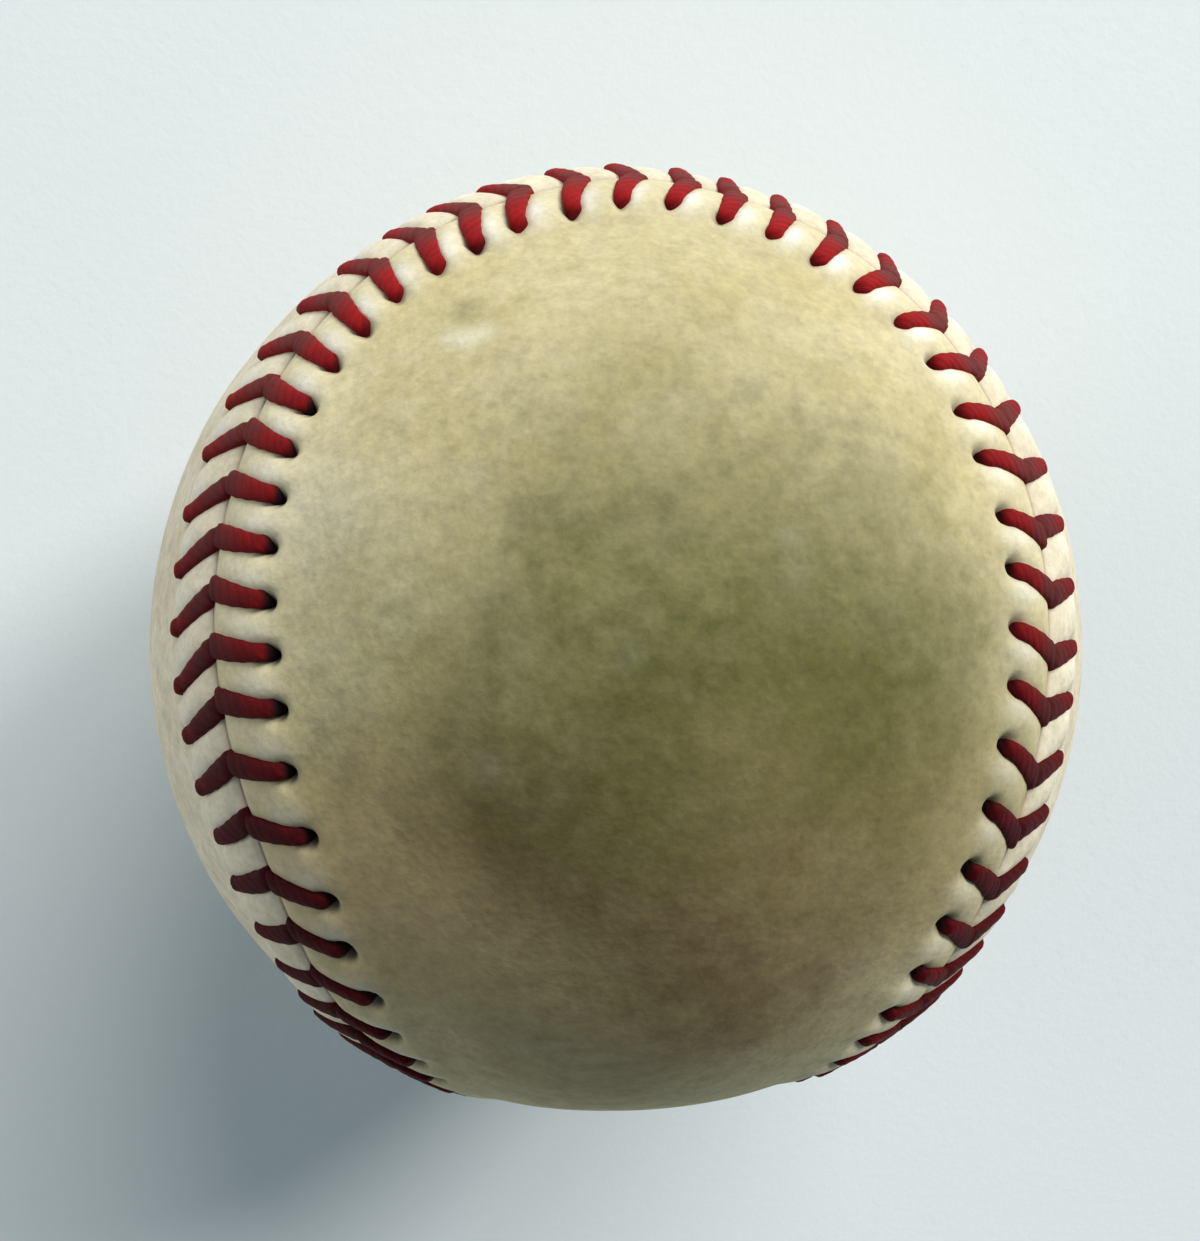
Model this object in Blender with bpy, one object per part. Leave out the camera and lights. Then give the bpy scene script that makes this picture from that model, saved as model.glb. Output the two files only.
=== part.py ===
"""A sewn baseball: a cushioned cork pill, four yarn windings and a two-panel leather cover.

Units are metres. The origin is the centre of the ball. +Z runs through the middle of one lobe
of the first cover panel, and +Y through the waist of the second panel.
"""

import math

import bmesh
import bpy
import numpy as np
from mathutils import Vector

# Pill: a cork ball in two black rubber cups with a gasket at their joint, in two red rubber cups.
CORK_DIAMETER = 0.0206
BLACK_RUBBER = 0.0037
GASKET_THICKNESS = 0.0008
RED_RUBBER = 0.0021

# Yarn windings from the pill out, each as the depth that it adds.
GREY_FOUR_PLY = 0.0141
WHITE_THREE_PLY = 0.0014
GREY_THREE_PLY = 0.0015
FINISHING_YARN = 0.00045
TUCK_HOLE_DIAMETER = 0.0016

# Leather cover. The margin along the seam is squeezed thinner by the sewing.
LEATHER = 0.00125
SEWN_MARGIN = 0.00085
PANEL_WAIST = 0.0284
RIDGE_SLOPE = 0.0041

# Sewing: holes at a reach from the seam line, each thread running ahead of its hole to the seam.
STITCHES = 108
STITCH_REACH = 0.0044
STITCH_LEAD = 0.0018
FIRST_HOLE = 0.0016
THREAD_WIDTH = 0.0009
THREAD_THICKNESS = 0.0008

# Clearances between the inner layers, under the cover and round the thread.
LAYER_CLEARANCE = 0.0003
COVER_CLEARANCE = 0.0004
THREAD_CLEARANCE = 0.00015

# Mesh counts.
PILL_SUBDIVISIONS = 2
WINDING_SUBDIVISIONS = 3
SEAM_SAMPLES = 4320
RIDGE_FOOT_POINTS = 72
INNER_RING_POINTS = (72, 72, 72)
SPINE_POINTS = 23
TANGENT_STEP = 0.02
SMOOTH_ANGLE = math.radians(40.0)

# Finishes, each a colour and a roughness.
CORK_FINISH = ((0.36, 0.22, 0.12), 0.9)
BLACK_RUBBER_FINISH = ((0.02, 0.02, 0.02), 0.6)
RED_RUBBER_FINISH = ((0.42, 0.05, 0.04), 0.6)
DARK_GREY_WOOL_FINISH = ((0.30, 0.30, 0.29), 0.95)
WHITE_WOOL_FINISH = ((0.78, 0.75, 0.68), 0.95)
LIGHT_GREY_WOOL_FINISH = ((0.38, 0.37, 0.35), 0.95)
FINISHING_YARN_FINISH = ((0.85, 0.83, 0.77), 0.85)
LEATHER_FINISH = ((0.60, 0.50, 0.34), 0.55)
THREAD_FINISH = ((0.30, 0.03, 0.04), 0.6)

# The lobe's middle along a panel's spine, as an angle from the panel's waist.
LOBE_ANGLE = math.radians(113.0)

# Radii that follow from the sizes above.
CORK_RADIUS = CORK_DIAMETER / 2
BLACK_INSIDE = CORK_RADIUS + LAYER_CLEARANCE
BLACK_OUTSIDE = BLACK_INSIDE + BLACK_RUBBER
RED_INSIDE = BLACK_OUTSIDE + LAYER_CLEARANCE
PILL_RADIUS = RED_INSIDE + RED_RUBBER
WINDINGS = (
    ("grey_four_ply_winding", GREY_FOUR_PLY, DARK_GREY_WOOL_FINISH),
    ("white_three_ply_winding", WHITE_THREE_PLY, WHITE_WOOL_FINISH),
    ("grey_three_ply_winding", GREY_THREE_PLY, LIGHT_GREY_WOOL_FINISH),
    ("finishing_yarn_winding", FINISHING_YARN, FINISHING_YARN_FINISH),
)
YARN_RADIUS = PILL_RADIUS + sum(LAYER_CLEARANCE + depth for _, depth, _ in WINDINGS)
COVER_INSIDE = YARN_RADIUS + COVER_CLEARANCE
COVER_RADIUS = COVER_INSIDE + LEATHER
MARGIN_INSIDE = YARN_RADIUS + THREAD_THICKNESS + 2 * THREAD_CLEARANCE
MARGIN_OUTSIDE = MARGIN_INSIDE + SEWN_MARGIN
BURIED_THREAD = YARN_RADIUS + THREAD_CLEARANCE + THREAD_THICKNESS / 2
SHOWN_THREAD = MARGIN_OUTSIDE + THREAD_CLEARANCE + THREAD_THICKNESS / 2
SEAM_GAP = THREAD_THICKNESS + 2 * THREAD_CLEARANCE
HOLE_ALONG = THREAD_WIDTH + 2 * THREAD_CLEARANCE
HOLE_ACROSS = THREAD_THICKNESS + 2 * THREAD_CLEARANCE

# The two sides of the seam, seen from outside while going along it.
RIGHT = -1
LEFT = 1


def seam_table():
    """Unit directions round the closed seam, and the arc length up to each on a unit ball."""
    waist = PANEL_WAIST / (2 * COVER_RADIUS)
    turn = np.linspace(0.0, 4 * math.pi, SEAM_SAMPLES + 1)
    polar = math.pi / 2 - (math.pi / 2 - waist) * np.cos(turn)
    around = turn / 2 + waist * np.sin(2 * turn)
    level = np.sin(polar)
    points = np.column_stack((level * np.sin(around), np.cos(polar), level * np.cos(around)))
    steps = np.linalg.norm(np.diff(points, axis=0), axis=1)
    return points, np.concatenate(([0.0], np.cumsum(steps)))


SEAM_POINTS, SEAM_ARC = seam_table()
STITCH_PITCH = SEAM_ARC[-1] * COVER_RADIUS / STITCHES


def seam_direction(stitch):
    """Unit direction of the seam line at a place counted in stitches from the seam's start."""
    arc = stitch % STITCHES / STITCHES * SEAM_ARC[-1]
    return Vector([np.interp(arc, SEAM_ARC, SEAM_POINTS[:, axis]) for axis in range(3)]).normalized()


def seam_axes(stitch):
    """Directions up from the ball, along the seam and to the seam's left."""
    up = seam_direction(stitch)
    along = seam_direction(stitch + TANGENT_STEP) - seam_direction(stitch - TANGENT_STEP)
    along = (along - up * along.dot(up)).normalized()
    return up, along, up.cross(along)


def beside_seam(stitch, side, reach):
    """Unit direction of a point that lies to one side of the seam by a reach."""
    up, _, left = seam_axes(stitch)
    angle = side * reach / COVER_RADIUS
    return up * math.cos(angle) + left * math.sin(angle)


def stitch_lead(side):
    """How far, in stitches, a thread meets the seam ahead of its hole.

    The two threads of a stitch go down the seam one behind the other, so that they can cross.
    """
    stagger = (THREAD_WIDTH + THREAD_CLEARANCE) / 2
    return (STITCH_LEAD - side * stagger) / STITCH_PITCH


def hole_place(number):
    """Where a stitch's pair of holes lies along the seam, in stitches."""
    return number + FIRST_HOLE / STITCH_PITCH


def finish(name, bm, surface, parent):
    """Turn a closed bmesh into a named, smooth-shaded object with its own material."""
    colour, roughness = surface
    bmesh.ops.recalc_face_normals(bm, faces=bm.faces[:])
    mesh = bpy.data.meshes.new(name)
    bm.to_mesh(mesh)
    bm.free()
    mesh.shade_smooth()
    mesh.set_sharp_from_angle(angle=SMOOTH_ANGLE)
    material = bpy.data.materials.new(name)
    material.use_nodes = True
    shader = material.node_tree.nodes["Principled BSDF"]
    shader.inputs["Base Color"].default_value = (*colour, 1.0)
    shader.inputs["Roughness"].default_value = roughness
    shader.inputs["Metallic"].default_value = 0.0
    mesh.materials.append(material)
    piece = bpy.data.objects.new(name, mesh)
    piece.parent = parent
    bpy.context.collection.objects.link(piece)
    return piece


def add_ball(bm, radius, subdivisions, lowest=None, highest=None):
    """Add a ball of flat faces, cut away below and above the given heights."""
    ball = bmesh.ops.create_icosphere(bm, subdivisions=subdivisions, radius=radius)["verts"]
    for height, outward in ((lowest, -1.0), (highest, 1.0)):
        if height is None:
            continue
        verts = [vert for vert in ball if vert.is_valid]
        edges = {edge for vert in verts for edge in vert.link_edges}
        faces = {face for vert in verts for face in vert.link_faces}
        cut = bmesh.ops.bisect_plane(
            bm,
            geom=[*verts, *edges, *faces],
            plane_co=(0.0, 0.0, height),
            plane_no=(0.0, 0.0, outward),
            clear_outer=True,
        )
        ball = verts + [item for item in cut["geom_cut"] if isinstance(item, bmesh.types.BMVert)]


def tuck_hole_height(radius, subdivisions):
    """Height at which a ball's top corner is cut off to leave a hole of the tuck hole's size."""
    probe = bmesh.new()
    bmesh.ops.create_icosphere(probe, subdivisions=subdivisions, radius=radius)
    top = max(probe.verts, key=lambda vert: vert.co.z)
    beside = top.link_edges[0].other_vert(top).co
    slope = (radius - beside.z) / math.hypot(beside.x, beside.y)
    probe.free()
    return radius - slope * TUCK_HOLE_DIAMETER / 2


def bridge_rims(bm, above):
    """Join the inner and outer rims that lie on one side of the equator, corner by corner."""
    rim = [edge for edge in bm.edges if edge.is_boundary and (edge.verts[0].co.z > 0) == above]
    middle = sum(edge.verts[0].co.length for edge in rim) / len(rim)
    inner = [edge for edge in rim if edge.verts[0].co.length < middle]
    outer = {vert for edge in rim for vert in edge.verts if vert.co.length > middle}

    def partner(vert):
        return max(outer, key=lambda other: other.co.xy.normalized().dot(vert.co.xy.normalized()))

    for edge in inner:
        one, two = edge.verts
        bm.faces.new((one, two, partner(two), partner(one)))


def cork_core(parent):
    """The cork ball at the middle."""
    bm = bmesh.new()
    add_ball(bm, CORK_RADIUS, PILL_SUBDIVISIONS)
    finish("cork_core", bm, CORK_FINISH, parent)


def rubber_cup(name, inside, outside, above, surface, parent):
    """One half of a rubber layer, cut off flat at the gasket."""
    joint = GASKET_THICKNESS / 2 + LAYER_CLEARANCE
    bm = bmesh.new()
    for radius in (inside, outside):
        if above:
            add_ball(bm, radius, PILL_SUBDIVISIONS, lowest=joint)
        else:
            add_ball(bm, radius, PILL_SUBDIVISIONS, highest=-joint)
    bridge_rims(bm, above)
    finish(name, bm, surface, parent)


def rubber_gasket(parent):
    """The ring between the two black cups."""
    bm = bmesh.new()
    top = GASKET_THICKNESS / 2
    for radius in (BLACK_INSIDE, BLACK_OUTSIDE):
        add_ball(bm, radius, PILL_SUBDIVISIONS, lowest=-top, highest=top)
    bridge_rims(bm, True)
    bridge_rims(bm, False)
    finish("rubber_gasket", bm, RED_RUBBER_FINISH, parent)


def yarn_windings(parent):
    """The four windings, each with the hole where its yarn's tail is tucked under."""
    inside = PILL_RADIUS
    subdivisions = PILL_SUBDIVISIONS
    for name, depth, surface in WINDINGS:
        inside += LAYER_CLEARANCE
        outside = inside + depth
        bm = bmesh.new()
        for radius, steps in ((inside, subdivisions), (outside, WINDING_SUBDIVISIONS)):
            add_ball(bm, radius, steps, highest=tuck_hole_height(radius, steps))
        bridge_rims(bm, True)
        finish(name, bm, surface, parent)
        inside = outside
        subdivisions = WINDING_SUBDIVISIONS


def spine_angle(direction, side):
    """Angle from a panel's waist, along its spine, of the point of the spine beside a direction."""
    if side == RIGHT:
        angle = math.atan2(direction.z, -direction.y)
    else:
        angle = math.atan2(direction.x, direction.y)
    return max(-LOBE_ANGLE, min(LOBE_ANGLE, angle))


def spine_direction(angle, side):
    """Unit direction of a point of a panel's spine."""
    if side == RIGHT:
        return Vector((0.0, -math.cos(angle), math.sin(angle)))
    return Vector((math.sin(angle), math.cos(angle), 0.0))


def spine_loop(side):
    """A panel's spine out and back, as (place along the seam, number of the spine's point)."""
    places = np.linspace(0.0, STITCHES, SEAM_SAMPLES, endpoint=False)
    nearest = []
    for place in places:
        share = (spine_angle(seam_direction(place), side) + LOBE_ANGLE) / (2 * LOBE_ANGLE)
        nearest.append(round(share * (SPINE_POINTS - 1)))
    starts = [index for index in range(SEAM_SAMPLES) if nearest[index] != nearest[index - 1]]
    return [(places[index], nearest[index]) for index in starts]


def zip_loops(bm, first, second):
    """Fill the band between two closed loops of (place along the seam, vertex) with triangles."""
    def at(loop, index):
        turns, rest = divmod(index, len(loop))
        place, vert = loop[rest]
        return place + turns * STITCHES, vert

    i = 0
    start = -1 if second[0][0] > first[0][0] else 0
    j = start
    while i < len(first) or j < start + len(second):
        here = at(first, i)[1]
        there = at(second, j)[1]
        next_place, next_here = at(first, i + 1)
        other_place, next_there = at(second, j + 1)
        if j == start + len(second) or (i < len(first) and next_place <= other_place):
            bm.faces.new((here, next_here, there))
            i += 1
        else:
            bm.faces.new((here, next_there, there))
            j += 1


def by_place(loop):
    """A loop of (place, vertex) in seam order, with places from nought to the last stitch."""
    return sorted(((place % STITCHES, vert) for place, vert in loop), key=lambda item: item[0])


def panel_skin(bm, side, cover_radius, margin_radius):
    """One face of a leather panel. Returns its rows of vertices along the seam and the holes."""
    reaches = (SEAM_GAP / 2, STITCH_REACH - HOLE_ACROSS / 2, STITCH_REACH + HOLE_ACROSS / 2)
    lead = stitch_lead(side)
    rows = []
    for reach in reaches:
        row = []
        for number in range(STITCHES):
            for edge in (-0.5, 0.5):
                place = hole_place(number) + edge * HOLE_ALONG / STITCH_PITCH
                place += lead * (1 - reach / STITCH_REACH)
                row.append((place, bm.verts.new(beside_seam(place, side, reach) * margin_radius)))
        rows.append(row)
    columns = 2 * STITCHES
    for near, far in zip(rows, rows[1:]):
        for column in range(columns):
            over = (column + 1) % columns
            is_hole = far is rows[2] and column % 2 == 0
            if not is_hole:
                bm.faces.new((near[column][1], near[over][1], far[over][1], far[column][1]))

    foot_reach = STITCH_REACH + RIDGE_SLOPE
    counts = (RIDGE_FOOT_POINTS, *INNER_RING_POINTS)
    loop = by_place(rows[2])
    for ring, count in enumerate(counts):
        share = ring / len(counts)
        next_loop = []
        for place in np.linspace(0.0, STITCHES, count, endpoint=False):
            foot = beside_seam(place, side, foot_reach)
            spine = spine_direction(spine_angle(seam_direction(place), side), side)
            direction = foot.lerp(spine, share).normalized()
            next_loop.append((place, bm.verts.new(direction * cover_radius)))
        zip_loops(bm, loop, next_loop)
        loop = next_loop
    angles = np.linspace(-LOBE_ANGLE, LOBE_ANGLE, SPINE_POINTS)
    spine = [bm.verts.new(spine_direction(angle, side) * cover_radius) for angle in angles]
    zip_loops(bm, loop, [(place, spine[number]) for place, number in spine_loop(side)])
    return [[vert for _, vert in row] for row in rows]


def cover_panel(name, side, parent):
    """A figure-8 leather panel with its raised margin and its row of stitch holes."""
    bm = bmesh.new()
    outer = panel_skin(bm, side, COVER_RADIUS, MARGIN_OUTSIDE)
    inner = panel_skin(bm, side, COVER_INSIDE, MARGIN_INSIDE)
    columns = 2 * STITCHES
    for column in range(columns):
        over = (column + 1) % columns
        bm.faces.new((outer[0][column], outer[0][over], inner[0][over], inner[0][column]))
    for column in range(0, columns, 2):
        corners = ((1, column), (1, column + 1), (2, column + 1), (2, column))
        for (row, at), (next_row, next_at) in zip(corners, corners[1:] + corners[:1]):
            top = (outer[row][at], outer[next_row][next_at])
            bm.faces.new((*top, inner[next_row][next_at], inner[row][at]))
    finish(name, bm, LEATHER_FINISH, parent)


def thread_route(first_side):
    """Centre line of a thread, as (point, direction along the seam there), from its first hole on.

    At each stitch the thread comes up a hole, lies over the margin to the seam, goes down between
    the panels and runs under the other panel to that side's next hole.
    """
    route = []
    for number in range(STITCHES):
        side = first_side if number % 2 == 0 else -first_side
        hole = hole_place(number)
        dive = hole + stitch_lead(side)
        for place, reach, radius in (
            (hole, STITCH_REACH, BURIED_THREAD),
            (hole, STITCH_REACH, SHOWN_THREAD),
            (dive, 0.0, SHOWN_THREAD),
            (dive, 0.0, BURIED_THREAD),
        ):
            route.append((beside_seam(place, side, reach) * radius, seam_axes(place)[1]))
    return route


def sewn_thread(name, first_side, parent):
    """A four-cornered thread along its route, closed at both ends."""
    route = thread_route(first_side)
    bm = bmesh.new()
    rings = []
    for index, (point, along) in enumerate(route):
        before = route[max(index - 1, 0)][0]
        after = route[min(index + 1, len(route) - 1)][0]
        ahead = Vector((0.0, 0.0, 0.0))
        for start, end in ((before, point), (point, after)):
            ahead += (end - start).normalized()
        ahead.normalize()
        across = (along - ahead * along.dot(ahead)).normalized() * THREAD_WIDTH / 2
        through = ahead.cross(across).normalized() * THREAD_THICKNESS / 2
        rings.append([bm.verts.new(point + arm) for arm in (across, through, -across, -through)])
    for ring, next_ring in zip(rings, rings[1:]):
        for corner in range(4):
            over = (corner + 1) % 4
            bm.faces.new((ring[corner], ring[over], next_ring[over], next_ring[corner]))
    bm.faces.new(rings[0])
    bm.faces.new(rings[-1])
    finish(name, bm, THREAD_FINISH, parent)


def main():
    """Clear the scene and build the ball from the middle out."""
    for old in list(bpy.data.objects):
        bpy.data.objects.remove(old)
    ball = bpy.data.objects.new("baseball", None)
    bpy.context.collection.objects.link(ball)
    cork_core(ball)
    for above, half in ((True, "upper"), (False, "lower")):
        black_cup = f"black_rubber_cup_{half}"
        red_cup = f"red_rubber_cup_{half}"
        rubber_cup(black_cup, BLACK_INSIDE, BLACK_OUTSIDE, above, BLACK_RUBBER_FINISH, ball)
        rubber_cup(red_cup, RED_INSIDE, PILL_RADIUS, above, RED_RUBBER_FINISH, ball)
    rubber_gasket(ball)
    yarn_windings(ball)
    cover_panel("cover_panel_a", RIGHT, ball)
    cover_panel("cover_panel_b", LEFT, ball)
    sewn_thread("seam_thread_first_needle", RIGHT, ball)
    sewn_thread("seam_thread_second_needle", LEFT, ball)


main()
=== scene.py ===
"""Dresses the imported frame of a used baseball: leather cover, sewing, yarn windings and pill.

Units are metres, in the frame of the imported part. The ball's centre is the origin, +Z runs through
the lobe of the first panel that faces the camera, and +Y through the waist of the second panel.
"""

import logging
import math
from abc import ABC, abstractmethod
from dataclasses import dataclass, field
from enum import Enum
from typing import Any, Callable, Mapping, Optional, Sequence, Union

import bpy
import numpy as np
from mathutils import Matrix, Vector


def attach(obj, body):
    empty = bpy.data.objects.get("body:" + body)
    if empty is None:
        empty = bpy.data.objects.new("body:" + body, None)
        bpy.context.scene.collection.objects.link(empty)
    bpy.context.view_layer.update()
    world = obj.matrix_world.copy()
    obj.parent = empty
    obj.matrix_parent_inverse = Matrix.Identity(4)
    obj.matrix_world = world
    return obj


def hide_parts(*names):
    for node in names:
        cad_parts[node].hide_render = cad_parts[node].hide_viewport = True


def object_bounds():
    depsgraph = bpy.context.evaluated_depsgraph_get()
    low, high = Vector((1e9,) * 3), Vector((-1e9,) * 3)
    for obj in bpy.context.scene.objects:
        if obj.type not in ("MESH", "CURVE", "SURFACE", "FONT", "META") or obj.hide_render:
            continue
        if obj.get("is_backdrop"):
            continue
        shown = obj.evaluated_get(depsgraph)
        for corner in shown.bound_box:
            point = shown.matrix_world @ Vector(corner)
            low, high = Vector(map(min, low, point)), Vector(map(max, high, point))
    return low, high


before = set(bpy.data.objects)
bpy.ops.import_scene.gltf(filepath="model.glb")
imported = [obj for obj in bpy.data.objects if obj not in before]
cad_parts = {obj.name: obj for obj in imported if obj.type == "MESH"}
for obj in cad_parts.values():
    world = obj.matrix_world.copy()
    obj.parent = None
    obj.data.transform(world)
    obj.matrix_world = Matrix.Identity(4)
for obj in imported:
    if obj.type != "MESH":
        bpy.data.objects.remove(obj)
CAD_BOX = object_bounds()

LOG = logging.getLogger("baseball")
BODY = "root"

Colour = tuple[float, float, float]
# A bump along the seam: its place and its half width in stitches, and its height.
Bump = tuple[float, float, float]
Value = Union["Wire", float, Sequence[float]]


class PanelSide(Enum):
    """The two cover panels, by the side of the seam on which each lies."""

    A = -1
    B = 1

    @property
    def other(self) -> "PanelSide":
        """The panel on the far side of the seam."""
        return PanelSide(-self.value)


class Half(Enum):
    """The two halves of a moulded rubber layer."""

    UPPER = 1
    LOWER = -1


def unit(vectors: np.ndarray) -> np.ndarray:
    """Scale vectors to length one.

    Args:
        vectors: Array whose last axis holds x, y and z.

    Returns:
        Array of the same shape.
    """
    return vectors / np.linalg.norm(vectors, axis=-1, keepdims=True)


def smooth_step(values: np.ndarray, start: float, end: float) -> np.ndarray:
    """Rise smoothly from 0 to 1.

    Args:
        values: Values to map.
        start: Value at which the rise starts.
        end: Value at which it ends.

    Returns:
        Array of shares from 0 to 1.
    """
    share = np.clip((values - start) / (end - start), 0.0, 1.0)
    return share * share * (3.0 - 2.0 * share)


def travelled(points: np.ndarray) -> np.ndarray:
    """Distance along a line of points, from its first point to each.

    Args:
        points: Points in order, one a row.

    Returns:
        One distance a point.
    """
    steps = np.linalg.norm(np.diff(points, axis=0), axis=1)
    return np.concatenate(([0.0], np.cumsum(steps)))


def headings(points: np.ndarray) -> np.ndarray:
    """Unit directions along a line of points."""
    return unit(np.gradient(points, axis=0))


def signed_power(values: np.ndarray, power: float) -> np.ndarray:
    """Raise the sizes of values to a power and keep their signs."""
    return np.sign(values) * np.abs(values) ** power


def lumps(
    points: np.ndarray,
    wavelength: float,
    seed: int,
    waves: int = 14,
    spread: tuple[float, float] = (0.7, 1.4),
) -> np.ndarray:
    """Smooth random unevenness, as the sum of plane waves in random directions.

    Args:
        points: Points in metres, one a row.
        wavelength: Typical distance from crest to crest.
        seed: Seed of the random directions.
        waves: Number of waves.
        spread: Shortest and longest wave, as shares of the wavelength.

    Returns:
        One number a point, mostly between -1 and 1.
    """
    rng = np.random.default_rng(seed)
    directions = unit(rng.normal(size=(waves, 3)))
    lengths = wavelength * rng.uniform(*spread, waves)
    phases = rng.uniform(0.0, 2 * math.pi, waves)
    total = np.zeros(len(points))
    for direction, length, phase in zip(directions, lengths, phases):
        total += np.sin(points @ direction * (2 * math.pi / length) + phase)
    return total / math.sqrt(waves / 2)


class Wire:
    """A value socket that takes part in arithmetic: each operation adds a Math node."""

    def __init__(self, tree: "ShaderTree", socket: bpy.types.NodeSocket) -> None:
        """Wrap an output socket of a shader tree."""
        self.tree = tree
        self.socket = socket

    def _math(self, operation: str, *values: Value) -> "Wire":
        """Add a Math node."""
        return self.tree.node("ShaderNodeMath", {"operation": operation}, dict(enumerate(values)))

    def __add__(self, other: Value) -> "Wire":
        """Add a value."""
        return self._math("ADD", self, other)

    def __radd__(self, other: Value) -> "Wire":
        """Add to a value."""
        return self._math("ADD", other, self)

    def __sub__(self, other: Value) -> "Wire":
        """Subtract a value."""
        return self._math("SUBTRACT", self, other)

    def __rsub__(self, other: Value) -> "Wire":
        """Subtract from a value."""
        return self._math("SUBTRACT", other, self)

    def __mul__(self, other: Value) -> "Wire":
        """Multiply by a value."""
        return self._math("MULTIPLY", self, other)

    def __rmul__(self, other: Value) -> "Wire":
        """Multiply a value."""
        return self._math("MULTIPLY", other, self)

    def sine(self) -> "Wire":
        """Sine of the value in radians."""
        return self._math("SINE", self)

    def power_of_e(self) -> "Wire":
        """The number e raised to the value."""
        return self._math("EXPONENT", self)

    def waves(self, count: int) -> "Wire":
        """Waves from 0 to 1, a given number of them to a full turn of the value."""
        return (self * float(count)).sine() * 0.5 + 0.5

    def rise(self, start: float, end: float) -> "Wire":
        """Rise smoothly from 0 to 1.

        Args:
            start: Value at which the rise starts.
            end: Value at which it ends.

        Returns:
            The share, from 0 to 1.
        """
        settings = {"interpolation_type": "SMOOTHSTEP"}
        inputs = {"Value": self, "From Min": start, "From Max": end}
        return self.tree.node("ShaderNodeMapRange", settings, inputs)


class ShaderTree:
    """A material's nodes, with one method that adds any node."""

    def __init__(self, name: str) -> None:
        """Make a material that holds only a Principled shader.

        Args:
            name: Name of the material.
        """
        self.material = bpy.data.materials.new(name)
        self.material.use_nodes = True
        self.tree = self.material.node_tree
        self.shader = self.tree.nodes["Principled BSDF"]

    def node(
        self,
        kind: str,
        settings: Optional[Mapping[str, Any]] = None,
        inputs: Optional[Mapping[Union[str, int], Value]] = None,
        output: Union[str, int] = 0,
    ) -> Wire:
        """Add a node.

        Args:
            kind: The node's type.
            settings: Its properties, set before the inputs.
            inputs: Values or wires by a socket's identifier, name or number.
            output: Identifier, name or number of the output to return.

        Returns:
            The chosen output.
        """
        made = self.tree.nodes.new(kind)
        for key, value in (settings or {}).items():
            setattr(made, key, value)
        for key, value in (inputs or {}).items():
            self.feed(self._socket(made.inputs, key), value)
        return Wire(self, self._socket(made.outputs, output))

    @staticmethod
    def _socket(sockets: Any, key: Union[str, int]) -> bpy.types.NodeSocket:
        """Find a socket.

        Args:
            sockets: A node's inputs or outputs.
            key: The socket's number, identifier or name.

        Returns:
            The socket.
        """
        if isinstance(key, int):
            return sockets[key]
        for socket in sockets:
            if socket.identifier == key:
                return socket
        return sockets[key]

    def feed(self, socket: bpy.types.NodeSocket, value: Value) -> None:
        """Link a wire to an input socket, or set the socket's own value.

        Args:
            socket: The input socket.
            value: The wire or the value.
        """
        if isinstance(value, Wire):
            self.tree.links.new(value.socket, socket)
        elif socket.type == "RGBA":
            socket.default_value = (*value, 1.0)
        else:
            socket.default_value = value

    def object_place(self) -> Wire:
        """Object coordinates, in metres."""
        return self.node("ShaderNodeTexCoord", output="Object")

    def attribute(self, name: str) -> Wire:
        """A number stored on the piece's points."""
        return self.node("ShaderNodeAttribute", {"attribute_name": name}, output="Fac")

    def noise(self, place: Wire, size: float, detail: float = 4.0, roughness: float = 0.55) -> Wire:
        """Noise whose patches have about the given size in metres."""
        inputs = {"Vector": place, "Scale": 1.0 / size, "Detail": detail, "Roughness": roughness}
        return self.node("ShaderNodeTexNoise", None, inputs, "Fac")

    def cells(self, place: Wire, size: float) -> Wire:
        """Distance to the nearest of random cell centres about a given size apart."""
        inputs = {"Vector": place, "Scale": 1.0 / size}
        return self.node("ShaderNodeTexVoronoi", None, inputs, "Distance")

    def mix(self, share: Value, first: Value, second: Value) -> Wire:
        """Mix two colours."""
        inputs = {"Factor_Float": share, "A_Color": first, "B_Color": second}
        return self.node("ShaderNodeMix", {"data_type": "RGBA"}, inputs, "Result_Color")

    def vector(
        self, operation: str, first: Value, second: Value, output: Union[str, int] = 0
    ) -> Wire:
        """Combine two vectors."""
        inputs = {0: first, 1: second}
        return self.node("ShaderNodeVectorMath", {"operation": operation}, inputs, output)

    def twist(self, length: float, lay: float) -> Wire:
        """Angle round a strand, turning with its plies, from the strand's own UV map.

        Args:
            length: Length of the strand.
            lay: Length in which the plies go round once.

        Returns:
            The angle in radians.
        """
        chart = self.node("ShaderNodeUVMap")
        around = self.node("ShaderNodeSeparateXYZ", None, {0: chart}, "X")
        along = self.node("ShaderNodeSeparateXYZ", None, {0: chart}, "Y")
        turn = 2 * math.pi
        return around * turn - along * (turn * length / lay)

    def bump(self, height: Wire, depth: float) -> Wire:
        """Surface normal for a relief of the given depth in metres."""
        inputs = {"Height": height, "Distance": depth, "Strength": 1.0}
        return self.node("ShaderNodeBump", None, inputs, "Normal")

    def surface(self, **inputs: Value) -> bpy.types.Material:
        """Feed the Principled shader.

        Args:
            inputs: Values or wires by socket name, with _ for a space.

        Returns:
            The finished material.
        """
        for key, value in inputs.items():
            self.feed(self.shader.inputs[key.replace("_", " ")], value)
        return self.material


class Finish(ABC):
    """A surface finish that can make its material."""

    @abstractmethod
    def material(self, name: str) -> bpy.types.Material:
        """Make the material.

        Args:
            name: Name of the material.

        Returns:
            The material.
        """


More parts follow.
